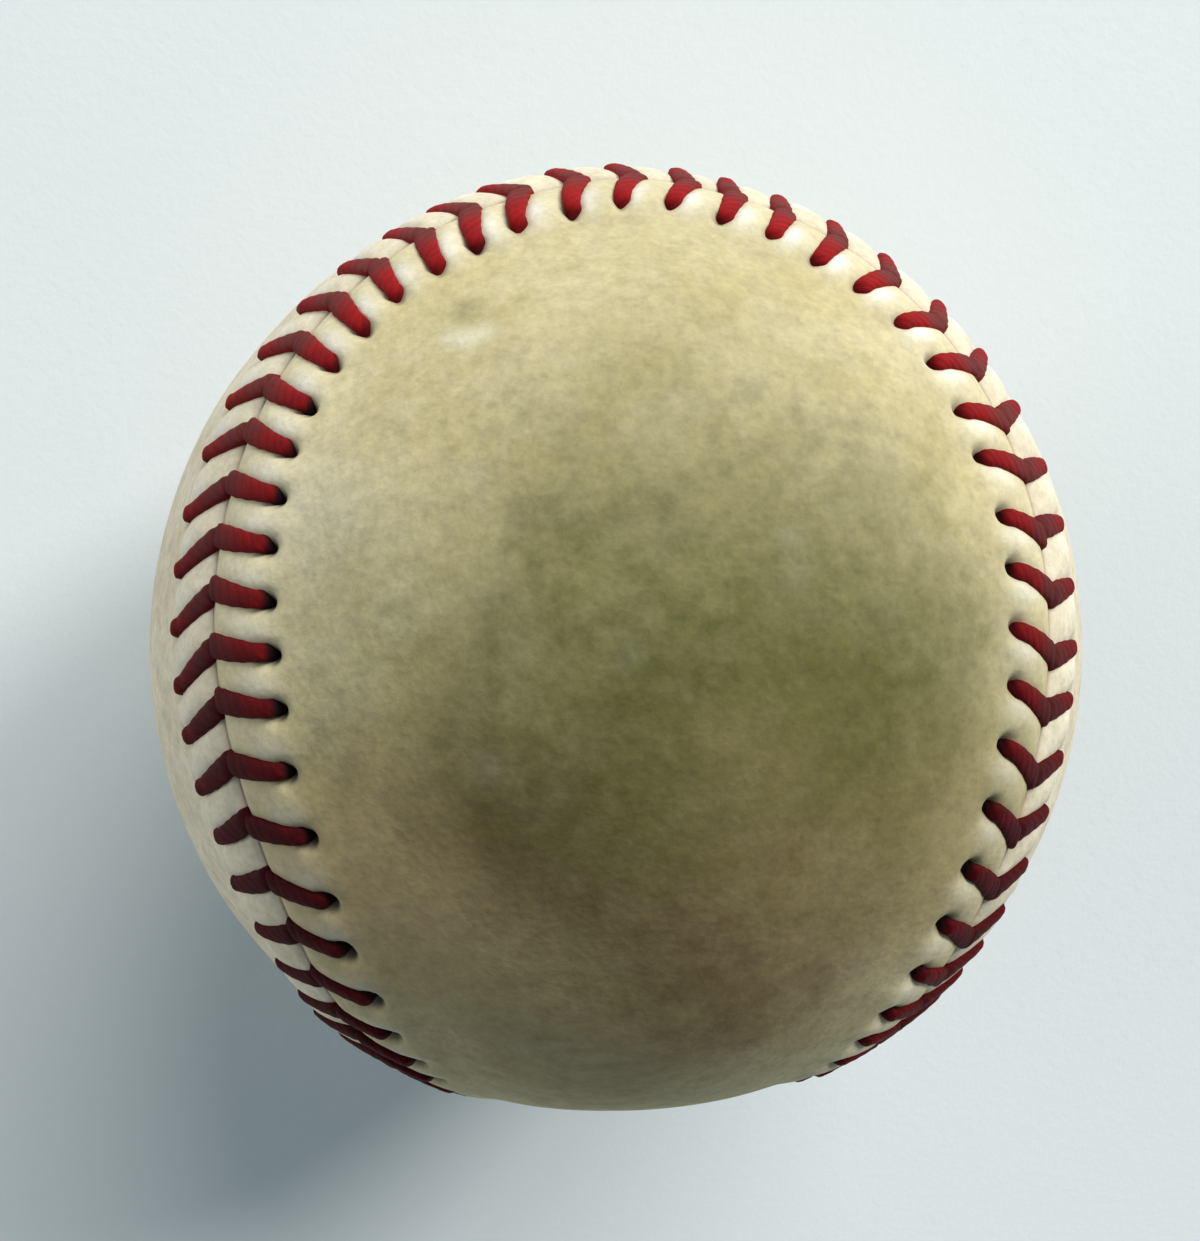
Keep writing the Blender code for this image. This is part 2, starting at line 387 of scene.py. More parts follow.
@dataclass(frozen=True)
class Smudge:
    """A soft patch of tint on the ball, strongest at its middle."""

    toward: tuple[float, float, float]
    spread: float
    strength: float
    tint: Colour

    def over(
        self, tree: ShaderTree, place: Wire, radius: float, colour: Value, patchy: Value
    ) -> Wire:
        """Lay the patch over a colour.

        Args:
            tree: The material's nodes.
            place: Places at which the patch is measured.
            radius: The ball's radius.
            colour: The colour under the patch.
            patchy: How much of the patch shows, near 1.

        Returns:
            The tinted colour.
        """
        centre = tuple(radius * part for part in self.toward)
        distance = tree.vector("DISTANCE", place, centre, "Value") * (1.0 / self.spread)
        share = (distance * distance * -1.0).power_of_e() * self.strength
        return tree.mix(share * patchy, colour, self.tint)


OLIVE: Colour = (0.085, 0.089, 0.016)
BROWN: Colour = (0.137, 0.083, 0.032)
SOOT: Colour = (0.058, 0.049, 0.009)
TAN: Colour = (0.48, 0.360, 0.185)
CREAM: Colour = (0.76, 0.700, 0.55)
CHALK: Colour = (0.84, 0.82, 0.71)
CLARET: Colour = (0.028, 0.002, 0.003)

# Each smudge has its direction from the ball's centre, spread in metres, strength and tint.
FIRST_PANEL_GRIME_AND_SHADE = (
    Smudge((0.07, 0.08, 0.994), 0.0189, 0.87, OLIVE),
    Smudge((0.37, -0.02, 0.928), 0.0110, 0.90, OLIVE),
    Smudge((-0.24, -0.18, 0.954), 0.0093, 0.95, SOOT),
    # This brown patch and the two brown ones further down lie low on the front lobe: partly grime,
    # partly painted shade.
    Smudge((0.12, -0.44, 0.890), 0.0128, 0.84, BROWN),
    Smudge((-0.44, -0.28, 0.854), 0.0074, 0.88, TAN),
    Smudge((0.18, 0.00, 0.984), 0.0042, 0.17, TAN),
    Smudge((0.49, -0.21, 0.846), 0.0078, 0.34, TAN),
    Smudge((-0.55, 0.36, 0.754), 0.0068, 0.52, CREAM),
    Smudge((0.06, 0.58, 0.812), 0.0126, 0.22, OLIVE),
    Smudge((-0.46, 0.18, 0.870), 0.0078, 0.19, OLIVE),
    Smudge((0.24, 0.18, 0.953), 0.0056, 0.24, OLIVE),
    Smudge((-0.08, 0.20, 0.976), 0.0055, 0.20, OLIVE),
    # Brown patches low on the front lobe: partly grime, partly painted shade.
    Smudge((-0.18, -0.71, 0.68), 0.0112, 0.46, BROWN),
    Smudge((-0.53, -0.46, 0.715), 0.0100, 0.23, BROWN),
    Smudge((0.05, -0.15, -0.98), 0.0200, 0.75, OLIVE),
    Smudge((-0.30, 0.32, -0.90), 0.0120, 0.50, BROWN),
    Smudge((0.10, -0.97, -0.15), 0.0160, 0.50, BROWN),
)
SECOND_PANEL_GRIME = (
    Smudge((0.97, -0.10, -0.22), 0.0170, 0.60, OLIVE),
    Smudge((0.80, -0.45, -0.40), 0.0130, 0.45, BROWN),
    Smudge((-0.96, 0.05, -0.28), 0.0160, 0.50, OLIVE),
    Smudge((-0.68, 0.52, -0.52), 0.0120, 0.40, BROWN),
    Smudge((0.05, 0.95, -0.30), 0.0120, 0.35, BROWN),
)
FIRST_PANEL_MARKS = (
    Smudge((-0.282, 0.688, 0.668), 0.0013, 0.34, OLIVE),
    Smudge((-0.308, 0.641, 0.703), 0.0007, 0.36, CHALK),
    Smudge((-0.278, 0.638, 0.718), 0.0009, 0.42, CHALK),
    Smudge((-0.246, 0.648, 0.721), 0.0007, 0.24, CHALK),
    Smudge((-0.273, 0.425, 0.863), 0.0010, 0.10, CHALK),
    Smudge((0.219, 0.319, 0.922), 0.0008, 0.08, CHALK),
    Smudge((0.223, 0.252, 0.942), 0.0009, 0.05, CHALK),
    Smudge((-0.033, 0.148, 0.988), 0.0008, 0.05, CHALK),
    Smudge((-0.257, -0.026, 0.966), 0.0009, 0.06, CHALK),
    Smudge((0.028, 0.371, 0.928), 0.0010, 0.30, SOOT),
    Smudge((-0.187, 0.367, 0.911), 0.0014, 0.20, SOOT),
    Smudge((-0.260, 0.182, 0.948), 0.0012, 0.20, SOOT),
    Smudge((-0.059, 0.364, 0.930), 0.0010, 0.20, SOOT),
)
# Patches where the thread is darker: left, lower left, right and lower right of the front lobe, and
# one on the far side.
THREAD_DARKENING = (
    Smudge((-0.80, -0.10, 0.58), 0.0250, 0.66, CLARET),
    Smudge((-0.52, -0.72, 0.46), 0.0240, 0.93, CLARET),
    Smudge((-0.58, -0.30, 0.757), 0.0125, 0.85, CLARET),
    Smudge((0.85, -0.05, 0.52), 0.0200, 0.62, CLARET),
    Smudge((0.50, -0.75, 0.42), 0.0190, 0.76, CLARET),
    Smudge((0.56, -0.30, 0.772), 0.0130, 0.80, CLARET),
    Smudge((0.30, 0.40, -0.86), 0.0240, 0.45, CLARET),
)


@dataclass(frozen=True)
class LeatherFinish(Finish):
    """Cream hide, soiled by play: paler beside the stitches, olive and brown elsewhere, with grime
    and painted shade in the holes, grooves and seam lip.
    """

    radius: float
    smudges: tuple[Smudge, ...]
    marks: tuple[Smudge, ...] = ()
    hide: Colour = (0.60, 0.507, 0.262)
    hide_pale: Colour = (0.73, 0.630, 0.385)
    sheltered: Colour = (0.83, 0.752, 0.570)
    spot: Colour = (0.90, 0.875, 0.80)
    # Near black: grime and painted shade in the stitch holes, grooves and seam lip, and painted
    # shade on the hidden underside.
    grime_and_shade_colour: Colour = (0.040, 0.036, 0.036)
    seam_stain: Colour = (0.55, 0.30, 0.24)
    rubbed: Colour = (1.12, 1.12, 1.11)
    rubbed_in: Colour = (0.88, 0.88, 0.87)
    grained: Colour = (0.84, 0.83, 0.80)
    broad_size: float = 0.024
    blotch_size: float = 0.0062
    mottle_size: float = 0.0021
    fleck_size: float = 0.0011
    grain_size: float = 0.00045
    pore_size: float = 0.0006
    relief: float = 0.000055
    drift: float = 0.012
    drift_scale: float = 90.0
    wear: float = 0.14
    stain: float = 0.25
    stain_reach: float = 0.045
    # How dark the grime and painted shade in the holes, grooves and seam lip are.
    grime_and_shade_strength: float = 0.95

    def adrift(self, tree: ShaderTree, place: Wire) -> Wire:
        """Shift places at random, so that the edges of the grime are ragged.

        Args:
            tree: The material's nodes.
            place: Object coordinates.

        Returns:
            The shifted places.
        """
        inputs = {"Vector": place, "Scale": self.drift_scale, "Detail": 4.0}
        shift = tree.node("ShaderNodeTexNoise", None, inputs, "Color")
        shift = tree.vector("SUBTRACT", shift, (0.5, 0.5, 0.5))
        shift = tree.vector("MULTIPLY", shift, (self.drift, self.drift, self.drift))
        return tree.vector("ADD", place, shift)

    def soiled(self, tree: ShaderTree, place: Wire, blotch: Wire, mottle: Wire) -> Wire:
        """Colour of the hide with its wear, grime and marks, browner on the lower part of the front
        lobe partly as painted shade.

        Args:
            tree: The material's nodes.
            place: Object coordinates.
            blotch: Noise of middling size.
            mottle: Noise of small size.

        Returns:
            The colour, before what the sewing does to it.
        """
        broad = tree.noise(place, self.broad_size, detail=3.0)
        fleck = tree.noise(place, self.fleck_size, detail=2.0, roughness=0.5)
        adrift = self.adrift(tree, place)
        colour = tree.mix(blotch.rise(0.30, 0.70), self.hide, self.hide_pale)
        worn = broad.rise(0.48, 0.72) * self.wear + mottle.rise(0.48, 0.75) * self.wear
        colour = tree.mix(worn, colour, OLIVE)
        patchy = 0.44 + mottle * 0.64 + blotch * 0.48
        # The first panel's brown patches low on its lobe are partly painted shade.
        for smudge in self.smudges:
            colour = smudge.over(tree, adrift, self.radius, colour, patchy)
        rubbed = tree.vector("MULTIPLY", colour, self.rubbed)
        colour = tree.mix(fleck.rise(0.42, 0.80), colour, rubbed)
        rubbed_in = tree.vector("MULTIPLY", colour, self.rubbed_in)
        colour = tree.mix(1.0 - fleck.rise(0.20, 0.52), colour, rubbed_in)
        for mark in self.marks:
            colour = mark.over(tree, place, self.radius, colour, 0.70 + mottle * 0.6)
        return colour

    def sewn(self, tree: ShaderTree, colour: Wire, blotch: Wire) -> Wire:
        """Lay what the sewing does over a colour: shelter, chafed spots, stain, and grime with
        painted shade in the holes, grooves and seam lip.

        Args:
            tree: The material's nodes.
            colour: The soiled colour.
            blotch: Noise of middling size.

        Returns:
            The colour of the sewn leather.
        """
        beside = tree.attribute("shelter") * (0.50 + blotch * 0.45)
        colour = tree.mix(beside, colour, self.sheltered)
        chafed = tree.attribute("spot") * (0.65 + blotch * 0.45)
        colour = tree.mix(chafed, colour, self.spot)
        at_seam = 1.0 - tree.attribute("seam_reach").rise(0.0, self.stain_reach)
        colour = tree.mix(at_seam * self.stain, colour, self.seam_stain)
        # Grime and painted shade in the stitch holes, grooves and seam lip, and painted shade
        # underneath.
        return tree.mix(tree.attribute("crease") * self.grime_and_shade_strength, colour, self.grime_and_shade_colour)

    def material(self, name: str) -> bpy.types.Material:
        """Make the leather material.

        Args:
            name: Name of the material.

        Returns:
            The material.
        """
        tree = ShaderTree(name)
        place = tree.object_place()
        blotch = tree.noise(place, self.blotch_size, detail=5.0, roughness=0.62)
        mottle = tree.noise(place, self.mottle_size, detail=4.0, roughness=0.62)
        grain = tree.noise(place, self.grain_size, detail=3.0, roughness=0.7)
        pores = tree.cells(place, self.pore_size)
        colour = self.soiled(tree, place, blotch, mottle)
        colour = self.sewn(tree, colour, blotch)
        grained = tree.vector("MULTIPLY", colour, self.grained)
        colour = tree.mix(grain.rise(0.42, 0.62) * 0.5, colour, grained)
        height = pores * 0.5 + grain * 0.6 + mottle * 0.5 + blotch * 0.8
        return tree.surface(
            Base_Color=colour,
            Roughness=0.56 + blotch * 0.18,
            Normal=tree.bump(height, self.relief),
            Specular_IOR_Level=0.14,
        )


@dataclass(frozen=True)
class ThreadFinish(Finish):
    """Dark red waxed thread, bright at the holes and soiled where it stands proud at the seam, with
    painted shade between its plies and in open holes.
    """

    length: float
    radius: float
    smudges: tuple[Smudge, ...]
    plies: int = 4
    lay: float = 0.0052
    fibres: int = 5
    red: Colour = (0.34, 0.0110, 0.0120)
    maroon: Colour = (0.205, 0.0110, 0.0130)
    soil: Colour = (0.150, 0.040, 0.036)
    shadow: Colour = (0.008, 0.003, 0.004)
    shade_between_plies: Colour = (0.5, 0.45, 0.5)
    blotch_size: float = 0.0016
    fuzz_size: float = 0.00022
    relief: float = 0.00006

    def material(self, name: str) -> bpy.types.Material:
        """Make the thread material.

        Args:
            name: Name of the material.

        Returns:
            The material.
        """
        tree = ShaderTree(name)
        place = tree.object_place()
        blotch = tree.noise(place, self.blotch_size, detail=4.0, roughness=0.65)
        fuzz = tree.noise(place, self.fuzz_size, detail=3.0, roughness=0.7)
        twist = tree.twist(self.length, self.lay)
        ply = twist.waves(self.plies)
        fibre = twist.waves(self.plies * self.fibres)
        proud = tree.attribute("arm_share").rise(0.25, 0.85) * tree.attribute("exposed")
        colour = tree.mix(blotch.rise(0.35, 0.7) * 0.6, self.red, self.maroon)
        colour = tree.mix(proud * (0.45 + blotch * 0.8), colour, self.soil)
        for smudge in self.smudges:
            colour = smudge.over(tree, place, self.radius, colour, 0.7 + blotch * 0.6)
        # Painted shade in the grooves between the plies.
        dark = tree.vector("MULTIPLY", colour, self.shade_between_plies)
        colour = tree.mix((1.0 - ply.rise(0.0, 0.4)) * 0.32, colour, dark)
        # Painted shadow where the thread goes down into an open hole.
        colour = tree.mix(tree.attribute("hole_shadow"), colour, self.shadow)
        height = ply * 0.5 + fibre * 0.25 + fuzz * 0.35
        return tree.surface(
            Base_Color=colour,
            Roughness=0.5 + fuzz * 0.25,
            Normal=tree.bump(height, self.relief),
            Specular_IOR_Level=0.04,
        )


@dataclass(frozen=True)
class YarnFinish(Finish):
    """Twisted yarn with its plies, painted shade between them, loose fibre and uneven dye."""

    colour: Colour
    shade: Colour
    length: float
    lay: float
    plies: int
    shade_between_plies: Colour = (0.5, 0.5, 0.5)
    heather_size: float = 0.0009
    fuzz_size: float = 0.00018
    relief: float = 0.00012

    def material(self, name: str) -> bpy.types.Material:
        """Make the yarn material.

        Args:
            name: Name of the material.

        Returns:
            The material.
        """
        tree = ShaderTree(name)
        place = tree.object_place()
        ply = tree.twist(self.length, self.lay).waves(self.plies)
        heather = tree.noise(place, self.heather_size, detail=4.0, roughness=0.7)
        fuzz = tree.noise(place, self.fuzz_size, detail=3.0, roughness=0.75)
        colour = tree.mix(heather.rise(0.3, 0.7), self.shade, self.colour)
        # Painted shade in the grooves between the plies.
        dark = tree.vector("MULTIPLY", colour, self.shade_between_plies)
        colour = tree.mix((1.0 - ply.rise(0.0, 0.5)) * 0.6, colour, dark)
        return tree.surface(
            Base_Color=colour,
            Roughness=0.85 + fuzz * 0.12,
            Normal=tree.bump(ply * 0.8 + fuzz * 0.4, self.relief),
            Specular_IOR_Level=0.2,
        )


@dataclass(frozen=True)
class RubberFinish(Finish):
    """Matt moulded rubber with a dusty bloom and a fine texture from the mould."""

    colour: Colour
    bloom: Colour
    cloud_size: float = 0.006
    pit_size: float = 0.0005
    relief: float = 0.00008

    def material(self, name: str) -> bpy.types.Material:
        """Make the rubber material.

        Args:
            name: Name of the material.

        Returns:
            The material.
        """
        tree = ShaderTree(name)
        place = tree.object_place()
        cloud = tree.noise(place, self.cloud_size, detail=5.0, roughness=0.6)
        pit = tree.noise(place, self.pit_size, detail=3.0, roughness=0.7)
        colour = tree.mix(cloud.rise(0.4, 0.75) * 0.5, self.colour, self.bloom)
        return tree.surface(
            Base_Color=colour,
            Roughness=0.55 + cloud * 0.2,
            Normal=tree.bump(pit + cloud * 0.5, self.relief),
            Specular_IOR_Level=0.4,
        )


@dataclass(frozen=True)
class CorkFinish(Finish):
    """Cork granules bound with dark rubber."""

    pale: Colour = (0.50, 0.32, 0.17)
    deep: Colour = (0.26, 0.145, 0.075)
    binder: Colour = (0.045, 0.035, 0.03)
    granule: float = 0.0016
    speck_size: float = 0.0004
    relief: float = 0.00015

    def material(self, name: str) -> bpy.types.Material:
        """Make the cork material.

        Args:
            name: Name of the material.

        Returns:
            The material.
        """
        tree = ShaderTree(name)
        place = tree.object_place()
        inputs = {"Vector": place, "Scale": 1.0 / self.granule}
        tone = tree.node("ShaderNodeTexVoronoi", None, inputs, "Color")
        tone = tree.node("ShaderNodeSeparateColor", None, {"Color": tone}, "Red")
        to_edge = {"feature": "DISTANCE_TO_EDGE"}
        edge = tree.node("ShaderNodeTexVoronoi", to_edge, inputs, "Distance")
        speck = tree.noise(place, self.speck_size, detail=3.0, roughness=0.7)
        colour = tree.mix(tone, self.deep, self.pale)
        colour = tree.mix(speck.rise(0.55, 0.7) * 0.5, colour, self.deep)
        colour = tree.mix(1.0 - edge.rise(0.02, 0.10), colour, self.binder)
        return tree.surface(
            Base_Color=colour,
            Roughness=0.82 + speck * 0.12,
            Normal=tree.bump(edge.rise(0.0, 0.2) + speck * 0.4, self.relief),
            Specular_IOR_Level=0.3,
        )


@dataclass(frozen=True)
class PaperFinish(Finish):
    """Pale, slightly blue paper with a faint mottle."""

    colour: Colour = (0.885, 0.93, 0.94)
    mottled: Colour = (0.845, 0.895, 0.91)
    cloud_size: float = 0.03
    fibre_size: float = 0.0012
    relief: float = 0.00004

    def material(self, name: str) -> bpy.types.Material:
        """Make the paper material.

        Args:
            name: Name of the material.

        Returns:
            The material.
        """
        tree = ShaderTree(name)
        place = tree.object_place()
        cloud = tree.noise(place, self.cloud_size, detail=5.0, roughness=0.6)
        fibre = tree.noise(place, self.fibre_size, detail=4.0, roughness=0.7)
        colour = tree.mix(cloud * 0.5 + fibre * 0.5, self.colour, self.mottled)
        return tree.surface(
            Base_Color=colour,
            Roughness=0.75 + fibre * 0.1,
            Normal=tree.bump(fibre, self.relief),
            Specular_IOR_Level=0.2,
        )


class Bench:
    """Modelling steps that every piece shares."""

    @staticmethod
    def add(name: str, primitive: Callable[..., Any], **settings: Any) -> bpy.types.Object:
        """Deselect everything, add a primitive, and name it and its mesh.

        Args:
            name: Name of the piece.
            primitive: The operator that adds it.
            settings: The operator's settings.

        Returns:
            The new object.
        """
        bpy.ops.object.select_all(action="DESELECT")
        primitive(**settings)
        piece = bpy.context.active_object
        piece.name = name
        piece.data.name = name
        return piece

    @classmethod
    def flat_grid(cls, name: str, columns: int, rows: int) -> bpy.types.Object:
        """Add a flat grid of unit size, to be wrapped into shape.

        Args:
            name: Name of the piece.
            columns: Faces along X.
            rows: Faces along Y.

        Returns:
            The new object.
        """
        grid = bpy.ops.mesh.primitive_grid_add
        return cls.add(name, grid, x_subdivisions=columns, y_subdivisions=rows, size=1.0)

    @staticmethod
    def chart(piece: bpy.types.Object) -> tuple[np.ndarray, np.ndarray]:
        """Where each point of a flat grid lies on it.

        Args:
            piece: The grid.

        Returns:
            Shares of the grid's width, and shares of its height.
        """
        flat = np.empty(len(piece.data.vertices) * 3, np.float32)
        piece.data.vertices.foreach_get("co", flat)
        flat = flat.reshape(-1, 3).astype(float) + 0.5
        return flat[:, 0], flat[:, 1]

    @staticmethod
    def move_points(piece: bpy.types.Object, points: np.ndarray) -> None:
        """Move every point of a piece."""
        piece.data.vertices.foreach_set("co", points.astype(np.float32).ravel())
        piece.data.update()

    @staticmethod
    def note_points(piece: bpy.types.Object, name: str, values: np.ndarray) -> None:
        """Store a number on every point of a piece."""
        layer = piece.data.attributes.new(name, "FLOAT", "POINT")
        layer.data.foreach_set("value", values.astype(np.float32))

    @staticmethod
    def close_up(piece: bpy.types.Object, merge: float) -> None:
        """Merge the points that meet, turn the faces outwards and shade them smooth.

        Args:
            piece: The wrapped piece.
            merge: Distance within which points are merged.
        """
        bpy.context.view_layer.objects.active = piece
        bpy.ops.object.mode_set(mode="EDIT")
        bpy.ops.mesh.select_all(action="SELECT")
        bpy.ops.mesh.remove_doubles(threshold=merge)
        bpy.ops.mesh.normals_make_consistent(inside=False)
        bpy.ops.object.mode_set(mode="OBJECT")
        bpy.ops.object.shade_smooth()

    @staticmethod
    def apply(piece: bpy.types.Object, kind: str, **settings: Any) -> None:
        """Add a modifier to a piece and apply it.

        Args:
            piece: The piece, which is the active object.
            kind: The modifier's type.
            settings: Its properties.
        """
        modifier = piece.modifiers.new(kind.lower(), kind)
        for key, value in settings.items():
            setattr(modifier, key, value)
        bpy.ops.object.modifier_apply(modifier=modifier.name)

    @staticmethod
    def dress(piece: bpy.types.Object, finish: Finish, slot: str, node: str) -> None:
        """Give a piece its material, and put it in the place of a node of the frame.

        Args:
            piece: The finished piece.
            finish: Its finish.
            slot: Not used.
            node: The node that the piece stands for.
        """
        piece.data.materials.clear()
        piece.data.materials.append(finish.material(piece.name))
        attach(piece, BODY)
        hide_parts(node)
        LOG.info("%s: %d faces, for %s", piece.name, len(piece.data.polygons), node)


@dataclass
class SeamLine:
    """The closed seam line on the ball, with places counted in stitches from its start."""

    radius: float = 0.037
    waist_width: float = 0.0284
    stitches: int = 108
    samples: int = 8640
    tangent_step: float = 0.02
    wander: tuple[Bump, ...] = (
        (88.0, 3.0, 0.00070),
        (95.0, 4.0, 0.00025),
        (102.0, 4.0, 0.00060),
        (4.0, 3.2, 0.00090),
        (10.0, 4.0, 0.00030),
        (16.0, 4.0, 0.00070),
    )
    points: np.ndarray = field(init=False, repr=False)
    arc: np.ndarray = field(init=False, repr=False)

    def __post_init__(self) -> None:
        """Sample the line, and shift it where the sewing has pulled it aside."""
        waist = self.waist_width / (2 * self.radius)
        turn = np.linspace(0.0, 4 * math.pi, self.samples + 1)
        polar = math.pi / 2 - (math.pi / 2 - waist) * np.cos(turn)
        around = turn / 2 + waist * np.sin(2 * turn)
        level = np.sin(polar)
        self.points = np.column_stack(
            (level * np.sin(around), np.cos(polar), level * np.cos(around))
        )
        self.measure()
        place = self.arc / self.arc[-1] * self.stitches
        self.points = self.beside(place, self.bumps(place, self.wander))
        self.measure()

    def measure(self) -> None:
        """Measure the line's length up to each sample, on a unit ball."""
        self.arc = travelled(self.points)

    def bumps(self, place: np.ndarray, bumps: Sequence[Bump]) -> np.ndarray:
        """Sum of smooth bumps along the seam.

        Args:
            place: Places in stitches.
            bumps: For each bump its place, its half width in stitches and its height.

        Returns:
            The sum at every place.
        """
        total = np.zeros(np.shape(place))
        half = self.stitches / 2
        for centre, span, height in bumps:
            away = np.mod(place - centre + half, self.stitches) - half
            total += height * np.exp(-(away / span) ** 2)
        return total

    @property
    def pitch(self) -> float:
        """Distance from stitch to stitch."""
        return self.arc[-1] * self.radius / self.stitches

    def direction(self, place: np.ndarray) -> np.ndarray:
        """Unit directions of the seam line at given places."""
        arc = np.mod(place, self.stitches) / self.stitches * self.arc[-1]
        return unit(np.stack([np.interp(arc, self.arc, self.points[:, k]) for k in range(3)], -1))

    def axes(self, place: np.ndarray) -> tuple[np.ndarray, np.ndarray, np.ndarray]:
        """Directions that go with the seam.

        Args:
            place: Places in stitches.

        Returns:
            Unit directions up from the ball, along the seam and to the seam's left.
        """
        up = self.direction(place)
        step = self.tangent_step
        along = self.direction(place + step) - self.direction(place - step)
        along = unit(along - up * np.sum(along * up, -1, keepdims=True))
        return up, along, np.cross(up, along)

    def beside(self, place: np.ndarray, left: np.ndarray) -> np.ndarray:
        """Directions of points beside the seam.

        Args:
            place: Places in stitches.
            left: Distances to the left of the seam line.

        Returns:
            Unit directions from the ball's centre.
        """
        up, _, across = self.axes(place)
        angle = (left / self.radius)[..., None]
        return up * np.cos(angle) + across * np.sin(angle)


@dataclass
class StitchPlan:
    """Where each stitch comes up its hole on either panel and goes down the seam."""

    seam: SeamLine
    first_hole: float = 0.0016
    hole_reach: float = 0.0044
    lead_a: float = 0.00105
    lead_b: float = 0.00095
    bend: float = 1.25
    unevenness: float = 0.00013
    most_uneven: float = 2.0
    tight_hole: float = 0.40
    slack_range: tuple[float, float] = (0.5, 1.5)
    chafe: float = 0.30
    crowding: tuple[Bump, ...] = (
        (88.0, 3.0, -0.0010),
        (94.0, 4.0, 0.0004),
        (105.0, 8.0, -0.0017),
        (106.5, 1.5, -0.0012),
        (6.0, 3.0, -0.0003),
        (12.0, 4.0, 0.0003),
        (18.5, 3.0, 0.0015),
    )
    lag_b: tuple[Bump, ...] = (
        (95.0, 4.0, -0.00085),
        (107.2, 1.0, 0.0014),
        (3.4, 3.0, -0.0012),
        (14.0, 5.0, 0.0007),
    )
    stretch_a: tuple[Bump, ...] = (
        (88.0, 3.0, -0.0009),
        (94.0, 4.0, 0.0004),
        (103.0, 4.0, 0.0004),
        (14.0, 5.0, -0.0002),
        (18.5, 2.5, -0.0008),
    )
    stretch_b: tuple[Bump, ...] = ((96.0, 6.0, 0.0008), (14.0, 5.0, -0.0003))
    lean: tuple[Bump, ...] = ((106.5, 1.5, 0.0010), (3.0, 2.0, -0.0012), (15.0, 4.5, 0.0008))
    open_holes: tuple[Bump, ...] = ((88.0, 3.5, 0.30), (95.0, 8.0, 0.68), (15.0, 8.0, 0.55))
    bare: tuple[Bump, ...] = ((102.0, 6.0, 0.45), (4.5, 5.0, 0.70))
    grubby: tuple[Bump, ...] = ((88.5, 5.5, 0.75), (16.5, 5.5, 0.70))
    seed: int = 11
    holes: dict[PanelSide, np.ndarray] = field(init=False, repr=False, default_factory=dict)
    reaches: dict[PanelSide, np.ndarray] = field(init=False, repr=False, default_factory=dict)
    leads: dict[PanelSide, np.ndarray] = field(init=False, repr=False, default_factory=dict)
    slack: dict[PanelSide, np.ndarray] = field(init=False, repr=False, default_factory=dict)
    chafed: np.ndarray = field(init=False, repr=False)

    def __post_init__(self) -> None:
        """Set out the holes, each a little off its even place as hand sewing leaves it."""
        rng = np.random.default_rng(self.seed)
        count = self.seam.stitches
        number = np.arange(count)
        shift = self.seam.bumps(number, self.crowding)
        lean = self.seam.bumps(number, self.lean)
        sewn = (
            (PanelSide.A, self.lead_a, (), self.stretch_a),
            (PanelSide.B, self.lead_b, self.lag_b, self.stretch_b),
        )
        for side, lead, lags, stretch in sewn:
            off = rng.normal(size=(3, count)).clip(-self.most_uneven, self.most_uneven)
            off *= self.unevenness
            lag = self.seam.bumps(number, lags)
            self.holes[side] = (self.first_hole + shift + lag + off[0]) / self.seam.pitch
            self.reaches[side] = self.hole_reach + self.seam.bumps(number, stretch) + off[1]
            self.leads[side] = (lead + lean - lag + off[2]) / self.seam.pitch
            self.slack[side] = self.tight_hole * rng.uniform(*self.slack_range, count)
        self.slack[PanelSide.A] += self.seam.bumps(number, self.open_holes)
        self.chafed = self.chafe + self.seam.bumps(number, self.bare)

    def grubbiness(self, place: np.ndarray) -> np.ndarray:
        """How much grime lies beside the stitches at given places of the seam."""
        return self.seam.bumps(place, self.grubby)

    def arm_place(self, side: PanelSide, number: np.ndarray, reach: np.ndarray) -> np.ndarray:
        """Where a stitch's arm lies along the seam, at given distances from the seam line.

        Args:
            side: The panel.
            number: Numbers of stitches, which may run past the seam's end.
            reach: Distances from the seam line.

        Returns:
            Places in stitches.
        """
        index = np.mod(number, self.seam.stitches)
        share = np.clip(1.0 - reach / self.reaches[side][index], 0.0, 1.0)
        return number + self.holes[side][index] + self.leads[side][index] * share ** self.bend


